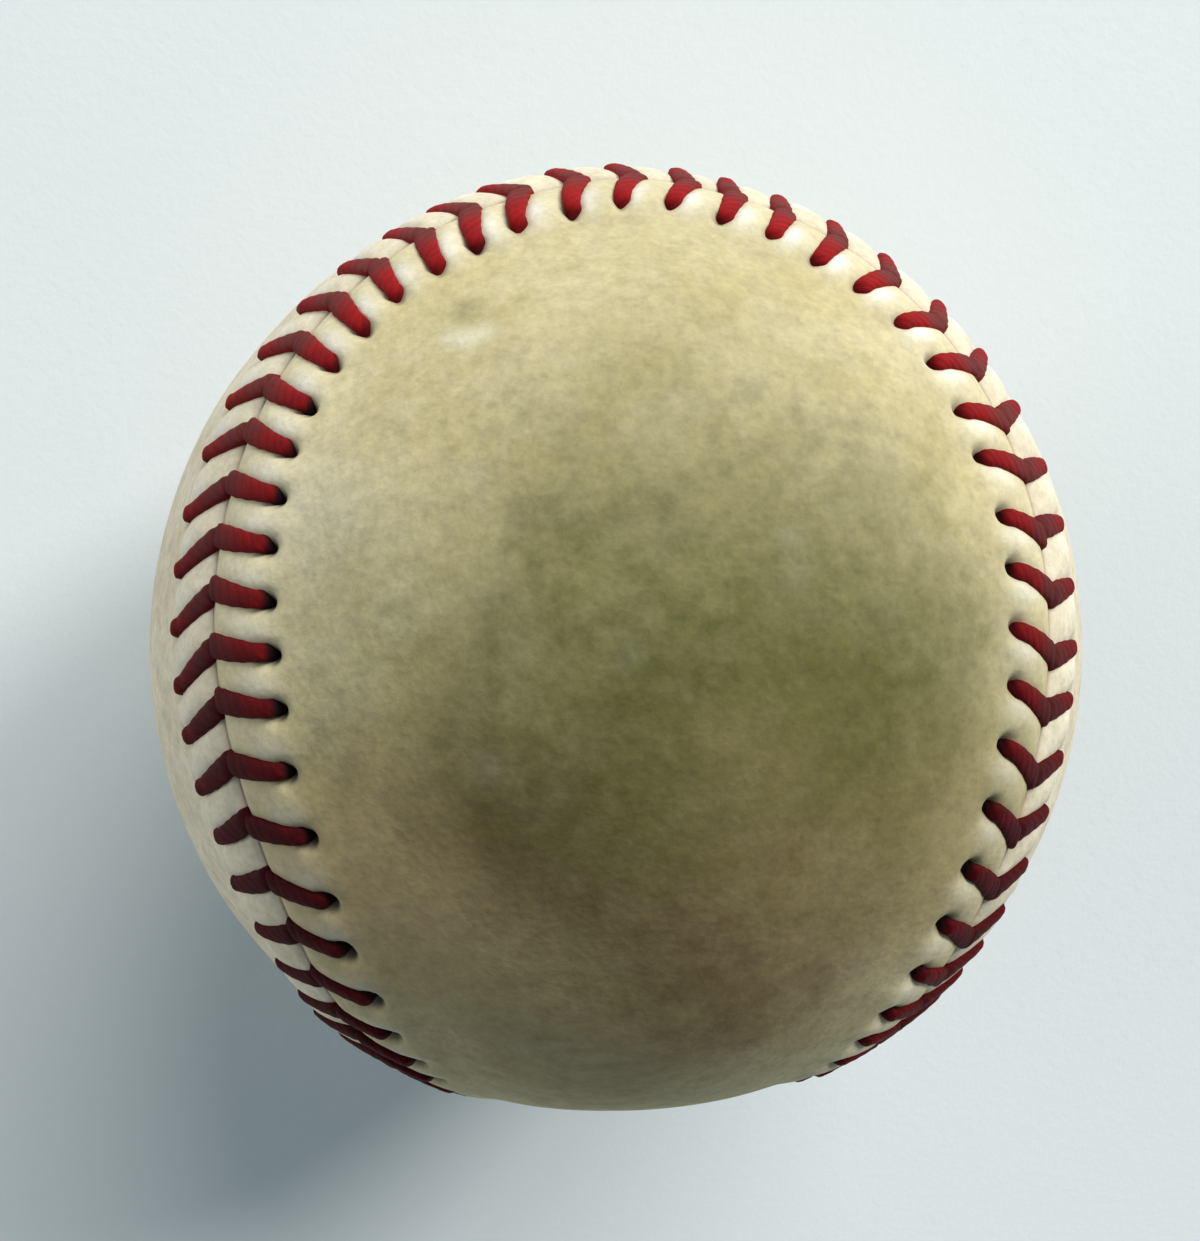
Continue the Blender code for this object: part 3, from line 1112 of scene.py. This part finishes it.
@dataclass
class LeatherRelief:
    """Height of the leather over the plain ball: ridge, lips, puffs, grooves and stitch holes."""

    plan: StitchPlan
    ridge: float = 0.00050
    swell: tuple[Bump, ...] = ((107.5, 5.0, 0.0005),)
    ridge_top: float = 0.0032
    ridge_foot: float = 0.0085
    lip_drop: float = 0.00024
    lip_width: float = 0.00045
    puff: float = 0.00019
    puff_start: float = 0.0004
    puff_full: float = 0.0022
    puff_past: float = 0.0047
    puff_end: float = 0.0074
    pillow_lean: float = 0.8
    pillow_fullness: float = 0.9
    arm_width: float = 0.0011
    least_room: float = 1e-6
    groove: float = 0.00020
    groove_width: float = 0.00062
    groove_fade: float = 0.0008
    pit: float = 0.0008
    pit_along: float = 0.00064
    pit_across: float = 0.00064
    pit_past: float = 0.00050
    pit_back: float = 0.00028
    spot_ahead: float = 0.0012
    spot_along: float = 0.0008
    spot_reach: float = 0.0040
    spot_across: float = 0.0015
    shelter: float = 0.45
    shelter_full: float = 0.0042
    shelter_end: float = 0.0068
    groove_shade: float = 0.5
    # Strengths of the grime and painted shade in the stitch holes, in the grooves beside the arms
    # and at the seam lip.
    pit_grime_and_shade: float = 1.3
    pit_grime_and_shade_power: float = 1.5
    groove_grime_and_shade: float = 0.30
    lip_grime_and_shade: float = 0.12
    dent: float = 0.00007
    dent_size: float = 0.013
    dent_seed: int = 3
    neighbours: tuple[int, ...] = (-2, -1, 0, 1, 2)

    def ridge_height(self, place: np.ndarray) -> np.ndarray:
        """Height of the ridge at given places of the seam."""
        return self.ridge + self.plan.seam.bumps(place, self.swell)

    def from_stitches(
        self, side: PanelSide, place: np.ndarray, reach: np.ndarray
    ) -> tuple[np.ndarray, np.ndarray, np.ndarray]:
        """Measure points of a panel from the stitches round them.

        Args:
            side: The panel.
            place: Places along the seam, in stitches.
            reach: Distances from the seam line.

        Returns:
            Distances past the last arm, distances before the next arm, and depths in a stitch hole.
        """
        pitch = self.plan.seam.pitch
        past = np.full(place.shape, np.inf)
        before = np.full(place.shape, np.inf)
        pit = np.zeros(place.shape)
        first = np.floor(place).astype(int)
        for step in self.neighbours:
            number = first + step
            index = np.mod(number, self.plan.seam.stitches)
            offset = (place - self.plan.arm_place(side, number, reach)) * pitch
            past = np.where(offset >= 0, np.minimum(past, offset), past)
            before = np.where(offset < 0, np.minimum(before, -offset), before)
            along = (place - number - self.plan.holes[side][index]) * pitch + self.pit_back
            across = reach - self.plan.reaches[side][index] - self.pit_past
            hole = np.exp(-(along / self.pit_along) ** 2 - (across / self.pit_across) ** 2)
            pit += self.plan.slack[side][index] * hole
        return past, before, pit

    def read(
        self, side: PanelSide, place: np.ndarray, reach: np.ndarray
    ) -> dict[str, np.ndarray]:
        """Measure the leather at points of a panel.

        Args:
            side: The panel.
            place: Places along the seam, in stitches.
            reach: Distances from the seam line.

        Returns:
            Arrays by name: height, and from 0 to about 1 pit, shelter, spot and crease, the last for
                grime and painted shade in the holes, grooves and seam lip.
        """
        past, before, pit = self.from_stitches(side, place, reach)
        room = np.maximum(past + before - self.arm_width, self.least_room)
        between = np.clip((past - self.arm_width / 2) / room, 0.0, 1.0)
        pillow = np.sin(math.pi * between ** self.pillow_lean) ** self.pillow_fullness

        ridge = 1.0 - smooth_step(reach, self.ridge_top, self.ridge_foot)
        lip = np.exp(-(reach / self.lip_width) ** 2)
        puffed = smooth_step(reach, self.puff_start, self.puff_full)
        puffed *= 1.0 - smooth_step(reach, self.puff_past, self.puff_end)
        hole = self.plan.hole_reach
        held = 1.0 - smooth_step(reach, hole, hole + self.groove_fade)
        groove = np.exp(-(np.minimum(past, before) / self.groove_width) ** 2) * held
        height = self.ridge_height(place) * ridge
        height += self.puff * puffed * pillow - self.lip_drop * lip - self.pit * pit
        height -= self.groove * groove * smooth_step(reach, 0.0, self.groove_fade)

        spot = np.exp(-((past - self.spot_ahead) / self.spot_along) ** 2)
        spot *= np.exp(-((reach - self.spot_reach) / self.spot_across) ** 2)
        spot *= self.plan.chafed[np.mod(np.floor(place).astype(int), self.plan.seam.stitches)]
        shelter = 1.0 - smooth_step(reach, self.shelter_full, self.shelter_end)
        shelter *= self.shelter * (1.0 - self.groove_shade * groove)
        shelter *= 1.0 - self.plan.grubbiness(place)
        # Grime and painted shade: in the stitch holes, in the grooves beside the arms and at the
        # seam lip.
        crease = self.pit_grime_and_shade * pit ** self.pit_grime_and_shade_power
        crease += self.groove_grime_and_shade * groove * held + self.lip_grime_and_shade * lip
        crease = np.clip(crease, 0.0, 1.0)
        return {"height": height, "pit": pit, "shelter": shelter, "spot": spot, "crease": crease}


@dataclass
class Cover:
    """The two figure-8 leather panels, wrapped from a flat pattern."""

    relief: LeatherRelief
    finishes: Mapping[PanelSide, Finish]
    even_seam: SeamLine = field(default_factory=lambda: SeamLine(wander=()))
    inside: float = 0.03575
    edge_gap: float = 0.00010
    edge_under: float = 0.0364
    lobe_angle: float = math.radians(113.0)
    columns_a_stitch: int = 4
    margin_rows: int = 10
    margin_cuts: int = 3
    field_rows: int = 16
    under_rows: int = 4
    merge: float = 1e-6
    reach_scale: float = 0.01

    @property
    def seam(self) -> SeamLine:
        """The seam that joins the panels."""
        return self.relief.plan.seam

    def pattern(self) -> np.ndarray:
        """Lines of the flat pattern, from the spine underneath, round the edge, to the spine.

        Returns:
            One row a line: distance from the seam, share of the way from the ridge's foot to the
            panel's spine, and 1 underneath or 0 on top.
        """
        foot = self.relief.ridge_foot
        edge = self.edge_gap / 2
        under = [(foot, share, 1.0) for share in np.linspace(1.0, 0.0, self.under_rows + 1)]
        under += [(foot / 2, 0.0, 1.0), (edge + self.relief.lip_width, 0.0, 1.0), (edge, 0.0, 1.0)]
        margin = [(reach, 0.0, 0.0) for reach in np.linspace(edge, foot, self.margin_rows + 1)]
        shares = np.linspace(0.0, 1.0, self.field_rows + 1)[1:]
        return np.array(under + margin + [(foot, share, 0.0) for share in shares])

    def spine(self, side: PanelSide, place: np.ndarray) -> np.ndarray:
        """Unit directions of the points of a panel's spine beside given places of its seam.

        Args:
            side: The panel.
            place: Places along the seam, in stitches.

        Returns:
            Directions measured from the even seam, so that both sides of a lobe meet on the spine.
        """
        x, y, z = self.even_seam.direction(place).T
        angle = np.arctan2(z, -y) if side is PanelSide.A else np.arctan2(x, y)
        angle = np.clip(angle, -self.lobe_angle, self.lobe_angle)
        nought = np.zeros_like(angle)
        if side is PanelSide.A:
            return np.column_stack((nought, -np.cos(angle), np.sin(angle)))
        return np.column_stack((np.sin(angle), np.cos(angle), nought))

    def cut_pattern(self, name: str, lines: np.ndarray) -> bpy.types.Object:
        """Lay out the flat pattern, with a finer mesh over the sewn margin.

        Args:
            name: Name of the piece.
            lines: The pattern's lines.

        Returns:
            The flat piece.
        """
        rows = len(lines) - 1
        piece = Bench.flat_grid(name, self.seam.stitches * self.columns_a_stitch, rows)
        is_margin = (lines[:, 1] == 0.0) & (lines[:, 2] == 0.0)
        last = np.flatnonzero(is_margin)[-1]
        first = np.flatnonzero(is_margin)[0] - 1
        centres = np.empty(len(piece.data.polygons) * 3, np.float32)
        piece.data.polygons.foreach_get("center", centres)
        row = (centres.reshape(-1, 3)[:, 1] + 0.5) * rows
        bpy.ops.object.mode_set(mode="EDIT")
        bpy.ops.mesh.select_all(action="DESELECT")
        bpy.ops.object.mode_set(mode="OBJECT")
        piece.data.polygons.foreach_set("select", (row > first) & (row < last))
        bpy.ops.object.mode_set(mode="EDIT")
        bpy.ops.mesh.subdivide(number_cuts=self.margin_cuts, ngon=False)
        bpy.ops.object.mode_set(mode="OBJECT")
        return piece

    def build(self, name: str, side: PanelSide) -> bpy.types.Object:
        """Cut a panel's pattern and wrap it on the ball.

        Args:
            name: Name of the piece.
            side: The panel.

        Returns:
            The finished panel.
        """
        lines = self.pattern()
        piece = self.cut_pattern(name, lines)
        across, down = Bench.chart(piece)
        place = across * self.seam.stitches
        station = down * (len(lines) - 1)
        numbers = np.arange(len(lines))
        reach, share, under = (np.interp(station, numbers, lines[:, k]) for k in range(3))
        toward = self.seam.beside(place, side.value * reach)
        toward = unit(toward + (self.spine(side, place) - toward) * share[:, None])
        marks = self.relief.read(side, place, reach)
        top = self.seam.radius + marks["height"]
        dents = lumps(toward * self.seam.radius, self.relief.dent_size, self.relief.dent_seed)
        top += self.relief.dent * dents
        rise = 1.0 - smooth_step(reach, self.relief.plan.hole_reach, self.relief.ridge_foot)
        bottom = self.inside + (self.edge_under - self.inside) * rise
        radius = top + (bottom - top) * under
        Bench.move_points(piece, toward * radius[:, None])
        Bench.note_points(piece, "seam_reach", np.clip(reach / self.reach_scale + share, 0.0, 1.0))
        Bench.note_points(piece, "shelter", marks["shelter"] * (1.0 - share))
        Bench.note_points(piece, "spot", marks["spot"] * (1.0 - share))
        # The panel's hidden underside gets the full grime-and-shade colour as painted shade.
        Bench.note_points(piece, "crease", np.maximum(marks["crease"] * (1.0 - share), under))
        Bench.close_up(piece, self.merge)
        return piece

    def dress(self) -> None:
        """Build both panels and put them in place of their nodes."""
        for letter, side in (("a", PanelSide.A), ("b", PanelSide.B)):
            panel = self.build(f"leather_panel_{letter}", side)
            Bench.dress(panel, self.finishes[side], "cover_leather", f"cover_panel_{letter}")


@dataclass
class Tube:
    """A strand: a flat grid wrapped round a centre line, with both ends drawn to a point."""

    centres: np.ndarray
    across: np.ndarray
    half_width: np.ndarray
    half_depth: np.ndarray
    sides: int
    plies: int = 0
    ply_depth: float = 0.0
    lay: float = 1.0
    squareness: float = 1.0
    merge: float = 1e-7

    def length(self) -> float:
        """Length of the centre line."""
        return float(travelled(self.centres)[-1])

    def build(self, name: str) -> tuple[bpy.types.Object, np.ndarray, np.ndarray]:
        """Wrap the grid.

        Args:
            name: Name of the piece.

        Returns:
            The piece, not yet closed up, and the ring number and place of each point.
        """
        rings = len(self.centres)
        piece = Bench.flat_grid(name, self.sides, rings - 1)
        around, along = Bench.chart(piece)
        ring = np.rint(along * (rings - 1)).astype(int)
        angle = around * 2 * math.pi
        ahead = headings(self.centres)
        across = unit(self.across - ahead * np.sum(self.across * ahead, -1, keepdims=True))
        through = np.cross(ahead, across)
        twist = angle - travelled(self.centres)[ring] * 2 * math.pi / self.lay
        swell = 1.0 + self.ply_depth * np.cos(self.plies * twist)
        drawn = np.ones(rings)
        drawn[0] = drawn[-1] = 0.0
        swell = swell * drawn[ring]
        wide = signed_power(np.cos(angle), self.squareness)
        deep = signed_power(np.sin(angle), self.squareness)
        points = self.centres[ring]
        points = points + across[ring] * (self.half_width[ring] * wide * swell)[:, None]
        points = points + through[ring] * (self.half_depth[ring] * deep * swell)[:, None]
        Bench.move_points(piece, points)
        return piece, ring, points


@dataclass
class Sewing:
    """The waxed thread, as its two needles left it."""

    relief: LeatherRelief
    buried: float = 0.0359
    half_depth: float = 0.00038
    hole_half_width: float = 0.00060
    seam_half_width: float = 0.00082
    spans: int = 3
    sides: int = 14
    ply_depth: float = 0.03
    squareness: float = 0.85
    below_hole: tuple[float, float] = (-0.035, -0.03)
    shares: tuple[float, ...] = (-0.005, 0.05, 0.16, 0.32, 0.50, 0.66, 0.80, 0.92)
    widest: float = 0.75
    ride_height: float = 0.00019
    hole_dip: float = 0.00035
    hole_round: float = 0.00008
    shaded: float = 0.28
    sunk_from: float = 0.00050
    sunk_to: float = -0.00025
    seam_dip: float = 0.00002
    bare_from: float = -0.2
    bare_to: float = 0.8

    @property
    def seam(self) -> SeamLine:
        """The seam that the thread sews."""
        return self.relief.plan.seam

    def stitch(self, side: PanelSide, number: int) -> np.ndarray:
        """Points of one stitch, from below its hole to below the seam.

        Args:
            side: The panel on which the stitch shows.
            number: The stitch.

        Returns:
            One row a point: x, y, z, the seam's direction there, half width, share of the arm, the
                painted shadow where it goes down an open hole, and the leather's level.
        """
        plan = self.relief.plan
        reach = plan.reaches[side][number]
        shares = np.array((*self.below_hole, *self.shares, 1.0, 1.0))
        reaches = reach * (1.0 - shares)
        numbers = np.full(len(shares), number)
        places = plan.arm_place(side, numbers, reaches)
        marks = self.relief.read(side, places, reaches)
        level = self.seam.radius + marks["height"] + self.relief.pit * marks["pit"]
        height = level + self.ride_height
        seat = self.seam.radius + self.relief.ridge_height(places) - self.relief.ridge / 2
        height[0] = self.buried
        height[1] = seat[1] - self.hole_dip
        height[2] -= self.hole_round
        height[-2] = seat[-2] - self.seam_dip
        height[-1] = self.buried
        points = self.seam.beside(places, side.value * reaches) * height[:, None]
        along = self.seam.axes(places)[1]
        spread = smooth_step(shares, 0.0, self.widest)
        width = self.hole_half_width + (self.seam_half_width - self.hole_half_width) * spread
        width[[0, -1]] = self.hole_half_width
        # Painted shadow at the hole end, stronger where the hole is more open.
        hole_shadow_share = (1.0 - smooth_step(shares, 0.0, self.shaded)) * plan.slack[side][number]
        return np.column_stack((points, along, width, np.clip(shares, 0.0, 1.0), hole_shadow_share, level))

    @staticmethod
    def smooth_line(rows: np.ndarray, spans: int) -> np.ndarray:
        """Pass a smooth curve through the points of a strand.

        Args:
            rows: One row a point, x, y and z first.
            spans: Pieces between one point and the next.

        Returns:
            The rows of the finer strand.
        """
        chord = np.sqrt(np.linalg.norm(np.diff(rows[:, :3], axis=0), axis=1))[:, None]
        slopes = np.diff(rows, axis=0) / chord
        tangents = np.empty_like(rows)
        tangents[0] = slopes[0]
        tangents[-1] = slopes[-1]
        both = chord[:-1] + chord[1:]
        tangents[1:-1] = (slopes[:-1] * chord[1:] + slopes[1:] * chord[:-1]) / both
        finer = []
        for share in np.arange(spans) / spans:
            square = share * share
            cube = square * share
            finer.append(
                (2 * cube - 3 * square + 1) * rows[:-1]
                + (cube - 2 * square + share) * chord * tangents[:-1]
                + (3 * square - 2 * cube) * rows[1:]
                + (cube - square) * chord * tangents[1:]
            )
        return np.vstack((np.stack(finer, 1).reshape(-1, rows.shape[1]), rows[-1:]))

    def build(self, name: str, first: PanelSide) -> tuple[bpy.types.Object, float]:
        """Sew one needle's thread all round the ball.

        Args:
            name: Name of the piece.
            first: The panel on which the first stitch shows.

        Returns:
            The finished thread, and its length.
        """
        rows = []
        for number in range(self.seam.stitches):
            side = first if number % 2 == 0 else first.other
            rows.append(self.stitch(side, number))
        strand = self.smooth_line(np.vstack(rows), self.spans)
        centres = strand[:, :3]
        width, share, hole_shadow_share, level = strand[:, 6:].T
        tube = Tube(
            centres=centres,
            across=strand[:, 3:6],
            half_width=width,
            half_depth=np.full(len(strand), self.half_depth),
            sides=self.sides,
            plies=ThreadFinish.plies,
            ply_depth=self.ply_depth,
            lay=ThreadFinish.lay,
            squareness=self.squareness,
        )
        piece, ring, points = tube.build(name)
        outward = points - centres[ring]
        lifted = np.sum(outward * unit(centres[ring]), -1) / self.half_depth
        above = np.linalg.norm(points, axis=-1) - level[ring]
        sunk = 1.0 - smooth_step(above, self.sunk_to, self.sunk_from)
        Bench.note_points(piece, "arm_share", np.clip(share[ring], 0.0, 1.0))
        Bench.note_points(piece, "hole_shadow", np.clip(hole_shadow_share[ring], 0.0, 1.0) * sunk)
        Bench.note_points(piece, "exposed", smooth_step(lifted, self.bare_from, self.bare_to))
        Bench.close_up(piece, tube.merge)
        return piece, tube.length()

    def dress(self) -> None:
        """Build both threads and put them in place of their nodes."""
        for needle, side in (("first", PanelSide.A), ("second", PanelSide.B)):
            thread, length = self.build(f"{needle}_needle_stitching", side)
            finish = ThreadFinish(length, self.seam.radius, THREAD_DARKENING)
            Bench.dress(thread, finish, "seam_thread", f"seam_thread_{needle}_needle")
            LOG.info("thread length %.3f m", length)


@dataclass(frozen=True)
class Winding:
    """One layer of yarn: its outer radius, the yarn's thickness and how often it goes round."""

    node: str
    slot: str
    colour: Colour
    shade: Colour
    outside: float
    thickness: float
    loops: int
    sides: int
    plies: int
    swing: float


@dataclass
class Windings:
    """The four layers of yarn, each one strand wound round and round the ball."""

    layers: tuple[Winding, ...] = (
        Winding(
            node="grey_four_ply_winding",
            slot="grey_wool_yarn",
            colour=(0.33, 0.33, 0.32), shade=(0.20, 0.20, 0.20),
            outside=0.0311, thickness=0.0021, loops=74, sides=8, plies=4, swing=0.53,
        ),
        Winding(
            node="white_three_ply_winding",
            slot="white_wool_yarn",
            colour=(0.80, 0.77, 0.70), shade=(0.62, 0.58, 0.50),
            outside=0.0328, thickness=0.0014, loops=92, sides=7, plies=3, swing=0.47,
        ),
        Winding(
            node="grey_three_ply_winding",
            slot="grey_wool_yarn",
            colour=(0.40, 0.39, 0.37), shade=(0.25, 0.24, 0.23),
            outside=0.0346, thickness=0.0015, loops=96, sides=7, plies=3, swing=0.59,
        ),
        Winding(
            node="finishing_yarn_winding",
            slot="finishing_yarn",
            colour=(0.86, 0.84, 0.78), shade=(0.72, 0.69, 0.61),
            outside=0.03535, thickness=0.00045, loops=230, sides=5, plies=2, swing=0.61,
        ),
    )
    loop_points: int = 40
    wander: float = 0.04
    wander_rate: float = 0.37
    flatness: float = 0.62
    lay_share: float = 2.6

    def route(self, layer: Winding) -> np.ndarray:
        """Centre line of a layer's yarn: great circles whose plane swings and tips.

        Args:
            layer: The layer.

        Returns:
            Points of the line, one a row.
        """
        count = layer.loops * self.loop_points
        turn = np.linspace(0.0, layer.loops * 2 * math.pi, count)
        tip = np.arccos(1.0 - np.linspace(0.0, 1.0, count))
        swing = turn / (2 * math.pi) * layer.swing
        sunk = 1.0 + self.wander * np.sin(turn * self.wander_rate)
        radius = layer.outside - layer.thickness / 2 * sunk
        x = np.cos(turn)
        y = np.sin(turn) * np.cos(tip)
        z = np.sin(turn) * np.sin(tip)
        swung_x = x * np.cos(swing) - y * np.sin(swing)
        swung_y = x * np.sin(swing) + y * np.cos(swing)
        return unit(np.column_stack((swung_x, swung_y, z))) * radius[:, None]

    def build(self, layer: Winding) -> tuple[bpy.types.Object, float]:
        """Wind a layer.

        Args:
            layer: The layer.

        Returns:
            The finished yarn, and its length.
        """
        line = self.route(layer)
        tube = Tube(
            centres=line,
            across=np.cross(headings(line), unit(line)),
            half_width=np.full(len(line), layer.thickness * self.flatness),
            half_depth=np.full(len(line), layer.thickness / 2),
            sides=layer.sides,
        )
        piece, _, _ = tube.build(f"wound_{layer.node.removesuffix('_winding')}")
        Bench.close_up(piece, tube.merge)
        return piece, tube.length()

    def dress(self) -> None:
        """Wind every layer and put it in place of its node."""
        for layer in self.layers:
            yarn, length = self.build(layer)
            lay = layer.thickness * self.lay_share
            finish = YarnFinish(layer.colour, layer.shade, length, lay, layer.plies)
            Bench.dress(yarn, finish, layer.slot, layer.node)


@dataclass
class Pill:
    """The cushioned cork: a cork ball in black and red rubber cups with a gasket at their joint."""

    cork_radius: float = 0.0103
    black_inside: float = 0.0106
    black_outside: float = 0.0143
    red_inside: float = 0.0146
    red_outside: float = 0.0167
    gasket: float = 0.0008
    clearance: float = 0.0003
    segments: int = 96
    rings: int = 64
    cork_subdivisions: int = 6
    granule_depth: float = 0.00012
    round_over: float = 0.00012
    round_steps: int = 3
    smooth_angle: float = math.radians(40.0)
    black: RubberFinish = RubberFinish((0.018, 0.018, 0.019), (0.06, 0.06, 0.06))
    red: RubberFinish = RubberFinish((0.40, 0.045, 0.035), (0.50, 0.13, 0.10))

    def cork(self) -> bpy.types.Object:
        """Shape the cork ball and roughen it with its granules.

        Returns:
            The finished ball.
        """
        piece = Bench.add(
            "granulated_cork_ball",
            bpy.ops.mesh.primitive_ico_sphere_add,
            subdivisions=self.cork_subdivisions,
            radius=self.cork_radius - self.granule_depth,
        )
        granules = bpy.data.textures.new("granules", "VORONOI")
        granules.noise_scale = CorkFinish.granule
        Bench.apply(piece, "DISPLACE", texture=granules, strength=self.granule_depth, mid_level=0.0)
        bpy.ops.object.shade_smooth()
        return piece

    def give_wall(self, piece: bpy.types.Object, thickness: float) -> None:
        """Give an open shell its wall and rounded edges, and shade it.

        Args:
            piece: The shell, which is the active object.
            thickness: Thickness of the wall, inwards.
        """
        Bench.apply(piece, "SOLIDIFY", thickness=thickness, offset=-1.0, use_even_offset=True)
        rounding = {"width": self.round_over, "segments": self.round_steps}
        Bench.apply(piece, "BEVEL", limit_method="ANGLE", **rounding)
        bpy.ops.object.shade_smooth_by_angle(angle=self.smooth_angle)

    def cup(self, name: str, inside: float, outside: float, half: Half) -> bpy.types.Object:
        """Cut a ball at the joint, and give the half its wall and rounded rim.

        Args:
            name: Name of the piece.
            inside: Inner radius.
            outside: Outer radius.
            half: Which half to keep.

        Returns:
            The finished cup.
        """
        joint = half.value * (self.gasket / 2 + self.clearance)
        piece = Bench.add(
            name,
            bpy.ops.mesh.primitive_uv_sphere_add,
            segments=self.segments,
            ring_count=self.rings,
            radius=outside,
        )
        bpy.ops.object.mode_set(mode="EDIT")
        bpy.ops.mesh.select_all(action="SELECT")
        bpy.ops.mesh.bisect(
            plane_co=(0.0, 0.0, joint),
            plane_no=(0.0, 0.0, half.value),
            clear_inner=True,
        )
        bpy.ops.object.mode_set(mode="OBJECT")
        self.give_wall(piece, outside - inside)
        return piece

    def ring(self) -> bpy.types.Object:
        """Make the gasket from an open pipe with a wall and rounded edges.

        Returns:
            The finished ring.
        """
        piece = Bench.add(
            "gasket_ring",
            bpy.ops.mesh.primitive_cylinder_add,
            vertices=self.segments,
            radius=self.black_outside,
            depth=self.gasket,
            end_fill_type="NOTHING",
        )
        self.give_wall(piece, self.black_outside - self.black_inside)
        return piece

    def dress(self) -> None:
        """Build the pill's pieces and put them in place of their nodes."""
        Bench.dress(self.cork(), CorkFinish(), "cork", "cork_core")
        Bench.dress(self.ring(), self.red, "red_rubber", "rubber_gasket")
        layers = (
            ("black", self.black_inside, self.black_outside, self.black),
            ("red", self.red_inside, self.red_outside, self.red),
        )
        for half in Half:
            for colour, inside, outside, finish in layers:
                end = f"cup_{half.name.lower()}"
                cup = self.cup(f"{colour}_{end}", inside, outside, half)
                Bench.dress(cup, finish, f"{colour}_rubber", f"{colour}_rubber_{end}")


DAYLIGHT: Colour = (1.0, 0.985, 0.955)
BOARD_LIGHT: Colour = (1.0, 0.98, 0.95)


@dataclass(frozen=True)
class Lamp:
    """A round soft lamp aimed at the ball."""

    name: str
    place: tuple[float, float, float]
    size: float
    power: float
    colour: Colour = DAYLIGHT

    def hang(self) -> None:
        """Put the lamp in the scene."""
        light = bpy.data.lights.new(self.name, "AREA")
        light.shape = "DISK"
        light.size = self.size
        light.energy = self.power
        light.color = self.colour
        holder = bpy.data.objects.new(self.name, light)
        holder.location = self.place
        holder.rotation_euler = (-Vector(self.place)).to_track_quat("-Z", "Y").to_euler()
        bpy.context.scene.collection.objects.link(holder)


@dataclass
class Studio:
    """Paper floor, soft light and a camera close above the ball."""

    radius: float
    floor_size: float = 4.0
    lamps: tuple[Lamp, ...] = (
        Lamp("near_window", place=(1.69, 1.42, 1.38), size=0.70, power=40.0),
        Lamp("wide_window", place=(0.92, 2.00, 1.38), size=1.6, power=44.0),
        Lamp("fill_board", place=(-1.10, 0.30, 0.20), size=0.60, power=3.8, colour=BOARD_LIGHT),
    )
    sky_colour: Colour = (0.68, 0.90, 1.0)
    sky_strength: float = 0.20
    backdrop: Colour = (0.80, 0.86, 0.88)
    camera_place: tuple[float, float, float] = (-0.1825, 0.5044, 2.9723)
    camera_right: tuple[float, float, float] = (0.9984, -0.0170, 0.0532)
    camera_up: tuple[float, float, float] = (0.0248, 0.9885, -0.1491)
    focal_pixels: float = 1327.6
    frame_height: float = 1241.0
    sensor: float = 36.0
    nearest: float = 0.01

    def floor(self) -> None:
        """Lay the paper under the ball."""
        lowest = min(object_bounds()[0].z, CAD_BOX[0].z)
        plane = bpy.ops.mesh.primitive_plane_add
        place = (0.0, 0.0, lowest)
        paper = Bench.add("paper_floor", plane, size=self.floor_size, location=place)
        paper.data.materials.append(PaperFinish().material("paper"))
        paper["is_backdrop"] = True

    def sky(self) -> None:
        """Fill the shade with weak sky light, behind which the camera sees a pale backdrop."""
        world = bpy.data.worlds.new("sky")
        world.use_nodes = True
        tree = world.node_tree
        fill = tree.nodes["Background"]
        fill.inputs["Color"].default_value = (*self.sky_colour, 1.0)
        fill.inputs["Strength"].default_value = self.sky_strength
        seen = tree.nodes.new("ShaderNodeBackground")
        seen.inputs["Color"].default_value = (*self.backdrop, 1.0)
        rays = tree.nodes.new("ShaderNodeLightPath")
        choice = tree.nodes.new("ShaderNodeMixShader")
        backdrop_rays = rays.outputs["Is Camera Ray"]
        for kind in ("Is Glossy Ray", "Is Transmission Ray"):
            either = tree.nodes.new("ShaderNodeMath")
            either.operation = "MAXIMUM"
            tree.links.new(backdrop_rays, either.inputs[0])
            tree.links.new(rays.outputs[kind], either.inputs[1])
            backdrop_rays = either.outputs[0]
        tree.links.new(backdrop_rays, choice.inputs[0])
        tree.links.new(fill.outputs[0], choice.inputs[1])
        tree.links.new(seen.outputs[0], choice.inputs[2])
        tree.links.new(choice.outputs[0], tree.nodes["World Output"].inputs["Surface"])
        bpy.context.scene.world = world

    def camera(self) -> None:
        """Set the camera where the seam's shape says that the picture was taken."""
        view = bpy.data.cameras.new("camera")
        view.sensor_width = self.sensor
        view.lens = self.focal_pixels / self.frame_height * self.sensor
        view.clip_start = self.nearest
        holder = bpy.data.objects.new("camera", view)
        right = Vector(self.camera_right).normalized()
        up = Vector(self.camera_up)
        up = (up - right * up.dot(right)).normalized()
        turned = Matrix((right, up, right.cross(up))).transposed().to_4x4()
        holder.matrix_world = Matrix.Translation(Vector(self.camera_place) * self.radius) @ turned
        bpy.context.scene.collection.objects.link(holder)
        bpy.context.scene.camera = holder

    def build(self) -> None:
        """Set up the whole studio."""
        self.floor()
        for lamp in self.lamps:
            lamp.hang()
        self.sky()
        self.camera()
        bpy.context.scene.view_settings.view_transform = "Standard"


def main() -> None:
    """Build the ball from the middle out, then the studio."""
    logging.basicConfig(level=logging.INFO, format="%(name)s: %(message)s")
    seam = SeamLine()
    relief = LeatherRelief(StitchPlan(seam))
    Pill().dress()
    Windings().dress()
    first = LeatherFinish(seam.radius, FIRST_PANEL_GRIME_AND_SHADE, FIRST_PANEL_MARKS)
    second = LeatherFinish(
        seam.radius,
        SECOND_PANEL_GRIME,
        hide=(0.70, 0.600, 0.430),
        hide_pale=(0.82, 0.730, 0.560),
    )
    Cover(relief, {PanelSide.A: first, PanelSide.B: second}).dress()
    Sewing(relief).dress()
    Studio(seam.radius).build()


if __name__ == "__main__":
    main()
